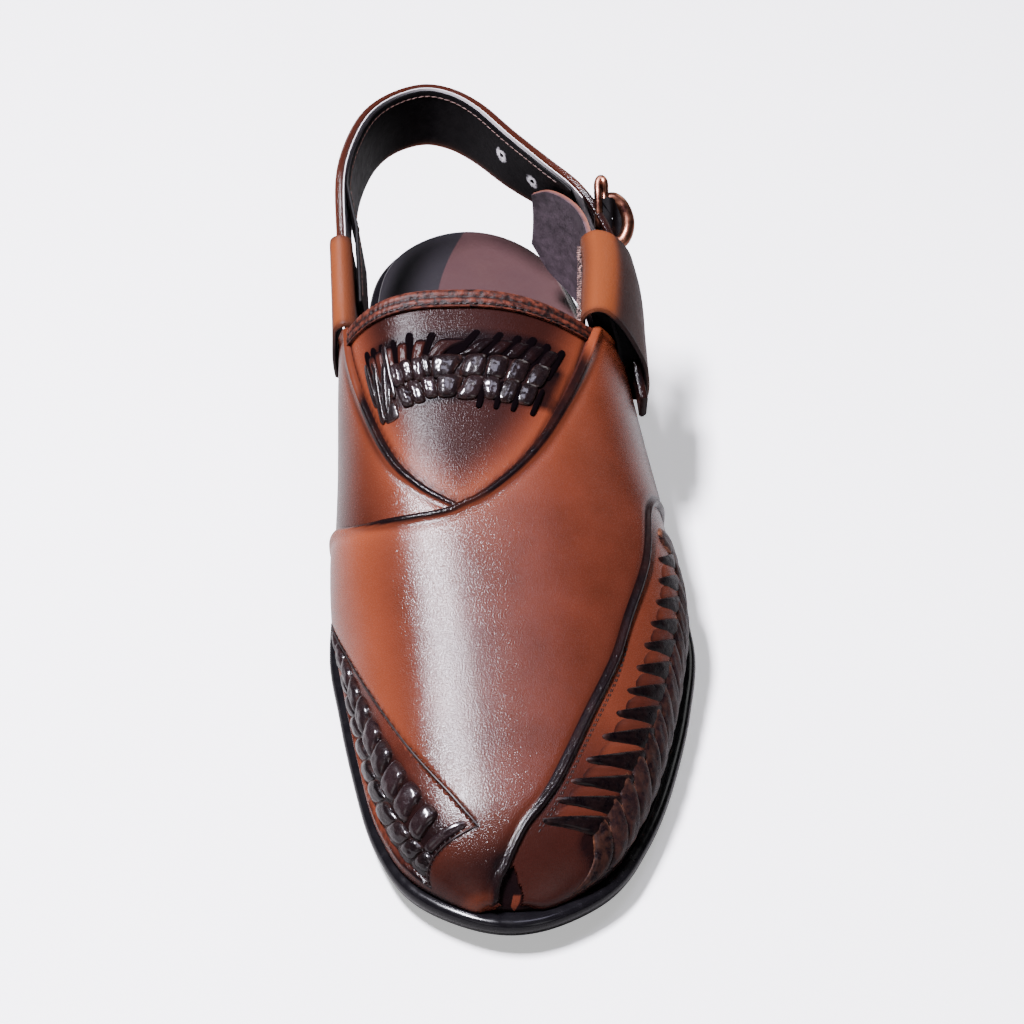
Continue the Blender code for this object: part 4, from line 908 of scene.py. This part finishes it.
# Tan leather: matt; light tan along the fold is a painted highlight, and dark brown on the sides is painted shade
# as well as the dark of rolled edges. Its grain is drawn 0.6 mm wide, coarser than it is, so that it shows.
tan, add = surface("rubbed tan leather", Specular_IOR_Level=0.06)
where = add("TexCoord", out="Object")
light, dark, inner = [add("Attribute", out="Fac", attribute_name=mark) for mark in ("glow", "burnish", "flesh")]
dye = add("Mix", {0: light, 6: "#321a12", 7: "#5d2e17"}, **COLOUR)
burnt_and_shaded = add("Mix", {0: dark, 6: dye, 7: "#1a0f0e"}, **COLOUR)
add("Mix", {0: inner, 6: burnt_and_shaded, 7: "#140f11"}, drives=["Base Color"], **COLOUR)
grain = add("TexNoise", {"Vector": where, "Scale": per(0.5556), "Detail": 4})
add("Bump", {"Height": grain, "Strength": 0.8, "Distance": 0.0002}, drives=["Normal"])
mottle = add("TexNoise", {"Vector": where, "Scale": per(8.333), "Detail": 6})
add("MapRange", {"Value": mottle, "To Min": 0.3, "To Max": 0.5}, drives=["Roughness"])


def folded(folds, turn, finish):
    """Place of a folded loop; finish(across, along) gives its marks."""
    ys = [fold[0] for fold in folds]

    def place(across, along, depth):
        y = ys[0] + (ys[-1] - ys[0]) * along
        parts = [table_curve([(at, at == here) for at in ys], 1, y)[:, None] for here in ys]

        def section(share):
            return sum(part * path_curve(fold[1:], share) for part, fold in zip(parts, folds))
        here, ahead = section(across), section(across + 0.01) - section(across - 0.01)
        out = unit(np.stack([-ahead[:, 1], ahead[:, 0]], 1))
        edge = np.minimum(along, 1 - along) * (ys[-1] - ys[0])
        sink = np.where(depth > 0.5, rounded(edge, 0.7), SLEEVE - rounded(edge, 0.5))
        here = here - out * turn * sink[:, None]
        return np.column_stack([here[:, 0], y, here[:, 1]]), finish(across, along) | {"flesh": 1.0 - depth}
    return place


# The inner loop: the lighter mark is a painted highlight along the fold, the darker one painted shade on the sides away
# from it, and the loop is darker at its ends.
def medial_finish(across, along):
    ends = hump(np.minimum(along, 1 - along), 0.05)
    return {"glow": hump(across - 0.5, 0.1) * (1 - 0.5 * ends),
            "burnish": np.clip(0.7 * ease(0.6, 0.85, across) + 0.5 * ease(0.36, 0.2, across) + 0.55 * ends, 0, 1)}


# The outer loop: a painted highlight along the fold and painted shade on the side below it; the mouth's dark rolled
# edge, the back end and the inner leaf are darkened too.
def lateral_finish(across, along):
    mouth, back = hump(along, 0.035), hump(1 - along, 0.03)
    fold = ease(0.12, 0.22, across) * ease(0.42, 0.34, across)
    return {"glow": np.clip(0.35 + 0.65 * fold, 0, 1) * (1 - 0.3 * mouth),
            "burnish": np.clip(0.9 * ease(0.36, 0.44, across) * (1 - 0.8 * ease(0.46, 0.8, across)) + 0.5 * mouth
                               + 0.4 * back + 0.3 * ease(0.12, 0.0, across), 0, 1)}


# Frayed leather edge: cut fibres that stand up pale out of a dark root.
frayed = fibrous("frayed leather edge", "#1a0f0e", "#8c6a62", 1.111, spread=(0.4, 0.65), Roughness=0.6)
fray_y = np.linspace(39, 73, 120)
fray_line = np.column_stack([np.interp(fray_y, (38, 50, 64, 75), (24.6, 25.4, 26.6, 26.8)), fray_y,
                             np.interp(fray_y, (38, 50, 64, 75), (73.5, 74.5, 75.5, 76.5))])
fray_out = np.tile((-0.8, -0.3, 0.5), (120, 1))
sewn("lateral_sleeve_fray", fray_line, fray_out, 0.8, 2.6, 0.55, 48, frayed, "tan_leather")
sewn("lateral_sleeve_fray_back", fray_line + (0.3, 0.2, -0.4), fray_out, 1.1, 2.2, 0.5, -40, frayed, "tan_leather")
finished("medial_sleeve_loop", shaped(slab(90, 50), folded(MEDIAL_FOLD, -1, medial_finish)), tan, "tan_leather",
         "medial_sleeve")
finished("lateral_sleeve_loop", shaped(slab(110, 60), folded(LATERAL_FOLD, 1, lateral_finish)), tan, "tan_leather",
         "lateral_sleeve")


# The keeper is closed at the back and below by its own black lining, so that the strap's end slides in a pocket.
POCKET = ((33.6, 76.5), (35.0, 72.0), (36.6, 66.0), (38.0, 58.0), (38.9, 51.0), (39.8, 46.0), (42.0, 43.6),
          (45.0, 43.4))


def pocket(across, along, depth):
    y = 39.0 + 35.0 * along
    x, z = path_curve(POCKET, across).T
    lift = ease(60, 75, y) * ease(0.5, 1.0, across) * 6.0
    return np.column_stack([x - 0.07 * (y - 50.0) - 0.9 * (1 - depth), y, z + lift]), {}


POCKET_OUTER = ((27.4, 73.5), (27.9, 76.8), (30.3, 79.0), (33.6, 78.0), (37.9, 73.0), (41.6, 66.0), (44.4, 57.5),
                (45.2, 49.8), (44.6, 44.4), (43.6, 42.3))
POCKET_INNER = ((29.5, 72.5), (30.5, 70.5), (33.0, 67.0), (36.0, 60.0), (38.2, 52.0), (39.5, 46.5), (41.5, 44.0),
                (43.5, 42.4))


def pocket_end(across, along, depth):
    """The pocket's front wall, between the loop and the quarter."""
    outer, inner = path_curve(POCKET_OUTER, across), path_curve(POCKET_INNER, across)
    x, z = (outer + (inner - outer) * along[:, None]).T
    return np.column_stack([x, 43.0 + 0.8 * depth, z]), {}


# ---------------- flap
# A tongue of black lining leather sewn inside the outer quarter, so that the buckle doesn't rub the ankle.
# Its face is matt and finely creased; its cut edge shows the light brown of the hide.
FLAP_PATH = (             # x, y, top, bottom, flare
    (15.0, 107.0, 71.5, 52.0, 0.6), (19.3, 103.0, 75.6, 44.5, 1.4), (24.2, 97.0, 77.6, 41.0, 2.2),
    (28.4, 89.0, 78.6, 39.0, 2.8), (30.6, 79.0, 78.8, 37.5, 3.0), (31.2, 63.0, 78.2, 36.5, 3.4),
    (29.7, 50.0, 76.6, 36.5, 4.2), (28.5, 42.0, 75.0, 37.0, 4.4),
)


def lining_of(name, low, high, shine):
    """Matt lining leather in two close shades, finely creased, its cut edge light brown; round the strap's punched
    holes it is painted pale, as light showing through them.
    """
    material, add = surface(name, Specular_IOR_Level=shine)
    where = add("TexCoord", out="Object")
    edge, fray = [add("Attribute", out="Fac", attribute_name=mark) for mark in ("edge", "fray")]
    creases = add("TexNoise", {"Vector": where, "Scale": per(3.333), "Detail": 6, "Roughness": 0.65})
    dye = add("ValToRGB", {"Fac": creases}, dyes=((0.35, low), (0.65, high)))
    pale = add("Mix", {0: edge, 6: dye, 7: "#70412f"}, **COLOUR)
    # Pale fibres round the strap's punched holes are painted light that shows through them.
    fibres = add("TexNoise", {"Vector": where, "Scale": per(1.429), "Detail": 4, "Roughness": 0.7})
    hole_light_fibres = add("Math", {0: fray, 1: fibres}, operation="MULTIPLY")
    patch = add("MapRange", {"Value": hole_light_fibres, "From Min": 0.26, "From Max": 0.42})
    add("Mix", {0: patch, 6: pale, 7: "#b4b0b4"}, drives=["Base Color"], **COLOUR)
    add("Bump", {"Height": creases, "Strength": 0.5, "Distance": 0.0004}, drives=["Normal"])
    add("MapRange", {"Value": creases, "To Min": 0.4, "To Max": 0.65}, drives=["Roughness"])
    return material


lining = lining_of("black lining leather", "#040304", "#0b090a", 0.06)
worn_lining = lining_of("worn flap leather", "#241d22", "#3c3138", 0.2)


def flap(across, along, depth):
    rows = np.array(FLAP_PATH)
    tops, lows = rows[:, :3], np.column_stack([rows[:, 0] + rows[:, 4], rows[:, 1], rows[:, 3]])
    top, low = path_curve(tops, across), path_curve(lows, across)
    ahead = path_curve(tops, across + 0.01) - path_curve(tops, across - 0.01)
    out = unit(np.cross(ahead, low - top))
    out *= np.sign(out[:, :1])
    bulge = 0.8 * 4 * along * (1 - along)
    sink = SLEEVE * (1 - depth)
    edge = np.minimum(along * 30, across * 60)
    pale = np.exp(-edge / 0.35) * 0.75 * (depth > 0.5)
    return top + (low - top) * along[:, None] + out * (bulge - sink)[:, None], {"edge": pale}


finished("lateral_sleeve_pocket", shaped(slab(60, 30), pocket), lining, "lining_leather")
finished("lateral_sleeve_stop", shaped(slab(60, 12), pocket_end), lining, "lining_leather")
finished("lateral_flap_tongue", shaped(slab(90, 40), flap), worn_lining, "lining_leather", "lateral_flap")


# ---------------- heel strap
# Two plies: brown leather outside and black lining leather inside, sewn together along the top edge, with a pale
# layer between them whose bared edge is a painted highlight along the strap's top edge. It has two punched holes
# and narrows to its free end in the keeper.
STRAP = 2.9
PLY = 2.4
LINING = 1.3
LINING_END = 0.668
HOLE = 1.2
PUNCH = 16.0
STRAP_RUN = 330.0         # about its path's length, for edges given in millimetres
HOLES = ((0.548, 0.42), (0.593, 0.5))          # shares along the strap and down it
STRAP_PATH = (            # x, y, top, width, lean of the face in degrees
    (-47.1, 53.5, 71.8, 18.5, -8), (-47.3, 64, 75.6, 20, -8), (-47.7, 78, 80.4, 20.5, -8),
    (-47.6, 95, 87.5, 21, -6), (-44.7, 109.5, 90.2, 21.5, -4), (-38.9, 124, 91.5, 22, -2),
    (-30.4, 133.3, 92, 22, 0), (-19.5, 138.2, 92, 22, 0), (-9.6, 137.0, 91, 22, 0), (-0.4, 131.4, 89, 22, 1),
    (9.6, 120.4, 86, 21.5, 4), (19.8, 108.6, 84, 21.5, 12), (28.4, 99.0, 82.0, 21.5, 20),
    (34.5, 89.0, 78.8, 21, 19), (39.0, 78.0, 74.3, 20, 9), (42.2, 62.0, 66.6, 17.0, 4),
    (43.4, 49.0, 59.5, 12.5, 2), (44.8, 40.0, 54.6, 7.0, 0), (46.3, 32.5, 49.8, 7.5, -2),
)

# Pale layer between the plies: off-white and matt, its bared edge a painted highlight along the strap's top edge.
pale_highlight_layer = fibrous("pale strap stiffener", "#a8a2a5", "#cfcacd", 1.429, 3, Roughness=0.55)


def strap_frame(t):
    """Top edge of the strap's outer face, its width, and the directions down the face and out of it."""
    rows = np.array(STRAP_PATH)
    top = path_curve(rows[:, :3], t)
    ahead = path_curve(rows[:, :3], t + 0.004) - path_curve(rows[:, :3], t - 0.004)
    width, lean = path_curve(rows[:, 3:], t).T
    outward = unit(np.column_stack([-ahead[:, 1], ahead[:, 0], np.zeros(len(t))]))
    tilt = np.radians(lean)[:, None]
    up = np.array([[0.0, 0.0, 1.0]])
    return top, width, outward * np.sin(tilt) - up * np.cos(tilt), outward * np.cos(tilt) + up * np.sin(tilt)


def lining_depth(t):
    """How far the lining lies behind the outer face: deeper where the strap's fixed end is doubled."""
    return np.interp(t, (0.115, 0.16), (5.6, 3.2))


def ply(first, last, behind, thickness, trim, radius):
    """Place of one ply of the strap, between two shares of its path, at a depth behind its outer face."""
    def place(across, along, depth):
        t = first + (last - first) * across
        top, width, down, face = strap_frame(t)
        span = width - 2 * trim
        edge = np.minimum(along, 1 - along) * span
        ends = np.minimum(across, 1 - across) * (last - first) * STRAP_RUN
        sink = np.where(depth > 0.5, rounded(np.minimum(edge, ends), radius),
                        thickness - rounded(np.minimum(edge, ends), radius * 0.6))
        # Dark along both edges; from the buckle on, the tail is painted dark as shade, where it runs in shadow behind
        # the post.
        burnish = 0.75 * hump(edge, 0.8) + ease(0.675, 0.7, t)
        # Around each hole the lining is painted pale, as light showing through it.
        marks = {"burnish": np.clip(burnish, 0, 1), "glow": 0.35 + 0 * t, "flesh": 0 * t,
                 "edge": np.exp(-edge / 0.5) * (along > 0.5), "fray": sum(
                     np.exp(-(((t - t0) * STRAP_RUN) ** 2 + (span * (along - down_share)) ** 2) / 11.0)
                     for t0, down_share in HOLES)}
        return top + down * (trim + span * along)[:, None] - face * (behind(t) + sink)[:, None], marks
    return place


plies = [
    finished("heel_strap_ply", shaped(slab(330, 30), ply(0.0, 1.0, lambda t: 0.0, PLY, 0.0, 0.8)), crust,
             "upper_leather", "heel_strap"),
    finished("heel_strap_core", shaped(slab(240, 6), ply(0.004, 0.69, lambda t: PLY, STRAP - PLY + 0.1, 0.15, 0.2)),
             pale_highlight_layer, "upper_leather"),
    finished("heel_strap_lining", shaped(slab(240, 24), ply(0.0, LINING_END, lining_depth, LINING, 0.5, 0.5)), lining,
             "lining_leather", "strap_lining"),
]
for t, share in HOLES:
    top, width, down, face = (rows[0] for rows in strap_frame(np.array([t])))
    bm = bmesh.new()
    bmesh.ops.create_cone(bm, cap_ends=True, segments=20, radius1=HOLE / 2, radius2=HOLE / 2, depth=PUNCH)
    turned = Vector(face).to_track_quat("Z", "Y").to_matrix().to_4x4()
    bmesh.ops.transform(bm, matrix=Matrix.Translation(top + down * width * share) @ turned, verts=bm.verts)
    punch = placed("punch", bm)
    for piece in plies:
        cut = piece.modifiers.new("punched", "BOOLEAN")
        cut.object, cut.solver = punch, "EXACT"
        bpy.context.view_layer.update()
        piece.data = bpy.data.meshes.new_from_object(piece.evaluated_get(bpy.context.evaluated_depsgraph_get()))
        piece.modifiers.remove(cut)
    bpy.data.objects.remove(punch)

# Light brown thread, unwaxed and matt, so that the row shows softly on the black lining.
sewing = fibrous("light brown thread", "#1a0f0e", "#5c3c33", 0.8333, Roughness=0.6)
share = np.linspace(0.02, 0.64, 300)
top, width, down, face = strap_frame(share)
inner_face = top - face * (lining_depth(share) + LINING + 0.02)[:, None]
sewn("strap_row", inner_face + down * 2.2, -face, 2.1, 2.2, 0.42, 6, sewing, "lining_leather")


# ---------------- buckle
# A frame bent from round steel wire and its prong, plated and darkened to antique copper; the plating is rubbed
# bright along the tops of the bends. The prong passes through the strap and rests on the frame.
ROD = 4.2
PRONG = 2.6
FRAME_PATH = (
    (36.4, 93.9, 77.6), (38.6, 94.6, 78.2), (40.8, 93.8, 77.3), (42.3, 91.9, 75.8), (43.2, 89.4, 73.7),
    (42.9, 86.8, 71.5), (41.3, 84.2, 69.8), (38.4, 83.4, 69.4), (36.6, 85.2, 71.0), (35.8, 88.2, 73.3),
    (35.8, 91.6, 75.8),
)
PRONG_PATH = (
    (34.0, 85.5, 72.7), (33.9, 88.5, 77.3), (33.9, 93.0, 81.3), (34.1, 96.4, 83.0), (35.0, 97.8, 83.6),
    (35.9, 96.3, 83.2), (36.0, 94.5, 80.5), (35.9, 91.5, 78.5),
)
CHAPE = (                 # outline of the black leather folded round the frame
    (34.6, 93.4, 78.6), (37.0, 93.6, 79.2), (39.5, 92.8, 78.8), (42.0, 90.5, 76.5), (42.6, 87.5, 73.6),
    (42.0, 84.8, 70.6), (38.6, 84.2, 69.4), (34.6, 85.6, 70.6), (33.2, 89.0, 74.4),
)

# Antique copper plate: dark in the hollows, warm and bright where it is rubbed, in patches some 5 mm wide.
copper, add = surface("antique copper plate", Metallic=1.0)
tarnish = add("TexNoise", {"Vector": add("TexCoord", out="Object"), "Scale": per(4.545), "Detail": 6, "Roughness": 0.6})
add("ValToRGB", {"Fac": tarnish}, dyes=((0.35, "#3b2320"), (0.68, "#a9705a")), drives=["Base Color"])
add("MapRange", {"Value": tarnish, "To Min": 0.2, "To Max": 0.42}, drives=["Roughness"])
add("Bump", {"Height": tarnish, "Strength": 0.2, "Distance": 0.0003}, drives=["Normal"])


def chape(across, along, depth):
    """A leaf filling the frame: rings of its outline, drawn in to its middle."""
    rim = path_curve(CHAPE + CHAPE[:1], across)
    middle = np.mean(CHAPE, axis=0)
    back = np.array([0.0, 0.7, -0.7])
    leaf = middle + (rim - middle) * (1 - 0.97 * along)[:, None]
    return leaf + back * (0.4 + 1.2 * (1 - depth) - 3.0 * ease(40.0, 37.5, leaf[:, 0]))[:, None], {}


finished("buckle_chape", shaped(slab(48, 8), chape), lining, "lining_leather")
finished("buckle_frame_wire", wire(FRAME_PATH, ROD / 2, True), copper, "buckle_metal", "buckle_frame")
finished("buckle_prong_wire", wire(PRONG_PATH, PRONG / 2, False, 120), copper, "buckle_metal", "buckle_prong")


# ---------------- floor, lights and camera
# A pale seamless floor under soft studio light: a narrow softbox above the inner side draws the gloss along the
# vamp, small dim ones fill in from the other sides, and the camera looks down on the toe.
# The paper is darker to what the shoe mirrors than to the camera, as dark cards beside the shoe would make it.
paper, add = surface("pale seamless paper", Roughness=0.9, Emission_Color=linear("#ffffff"))
fibre = add("TexNoise", {"Vector": add("TexCoord", out="Object"), "Scale": per(83.33)})
tone = add("ValToRGB", {"Fac": fibre}, dyes=((0, "#f1f0f0"), (1, "#f6f5f5")))
mirrored = add("LightPath", out="Is Glossy Ray")
add("Mix", {0: mirrored, 6: tone, 7: "#7a7876"}, drives=["Base Color"], **COLOUR)
add("MapRange", {"Value": mirrored, "To Min": 0.5, "To Max": 0.06}, drives=["Emission Strength"])
bm = bmesh.new()
bmesh.ops.create_grid(bm, x_segments=2, y_segments=2, size=6000.0)
floor = placed("floor", bm)
floor.data.materials.append(paper)

for name, place, aim, width, height, watts, colour in (
        ("top_box", (-0.38, -0.02, 1.20), (0, -0.03, 0.05), 0.13, 0.36, 96, "#f6f3ff"),
        ("side_box", (0.20, 0.10, 1.20), (0, -0.03, 0.05), 0.30, 0.30, 2.6, "#e6e2ff"),
        ("front_left_box", (-0.8, -1.5, 0.8), (0, 0, 0.04), 0.7, 0.7, 2.5, "#ffffff"),
        ("front_right_box", (0.8, -1.5, 0.9), (0, 0, 0.04), 0.7, 0.7, 3.5, "#ffffff"),
        ("back_box", (0.9, 1.3, 0.9), (0, 0, 0.06), 0.5, 1.0, 5, "#ffffff")):
    lamp = bpy.data.lights.new(name, "AREA")
    lamp.shape, lamp.size, lamp.size_y = "RECTANGLE", width, height
    lamp.energy, lamp.color = watts, linear(colour)[:3]
    box = bpy.data.objects.new(name, lamp)
    box.location = place
    back = (Vector(place) - Vector(aim)).normalized()
    side = Vector((0, 1, 0)).cross(back).normalized()
    box.rotation_euler = Matrix((side, back.cross(side), back)).transposed().to_euler()
    bpy.context.scene.collection.objects.link(box)

world = bpy.data.worlds.new("studio")
world.use_nodes = True
world.node_tree.nodes["Background"].inputs["Color"].default_value = linear("#f2f3f6")
world.node_tree.nodes["Background"].inputs["Strength"].default_value = 0.06
bpy.context.scene.world = world

lens = bpy.data.cameras.new("camera")
lens.lens, lens.sensor_width = 128.04, 36.0
lens.clip_start, lens.clip_end = 0.05, 30.0
camera = bpy.data.objects.new("camera", lens)
camera.location = (-0.0548, -0.8052, 0.7710)
aim = (Vector((0.0017, 0.0091, 0.025)) - camera.location).to_track_quat("-Z", "Y")
camera.rotation_euler = (aim.to_matrix() @ Matrix.Rotation(math.radians(1.6), 3, "Z")).to_euler()
bpy.context.scene.collection.objects.link(camera)
bpy.context.scene.camera = camera
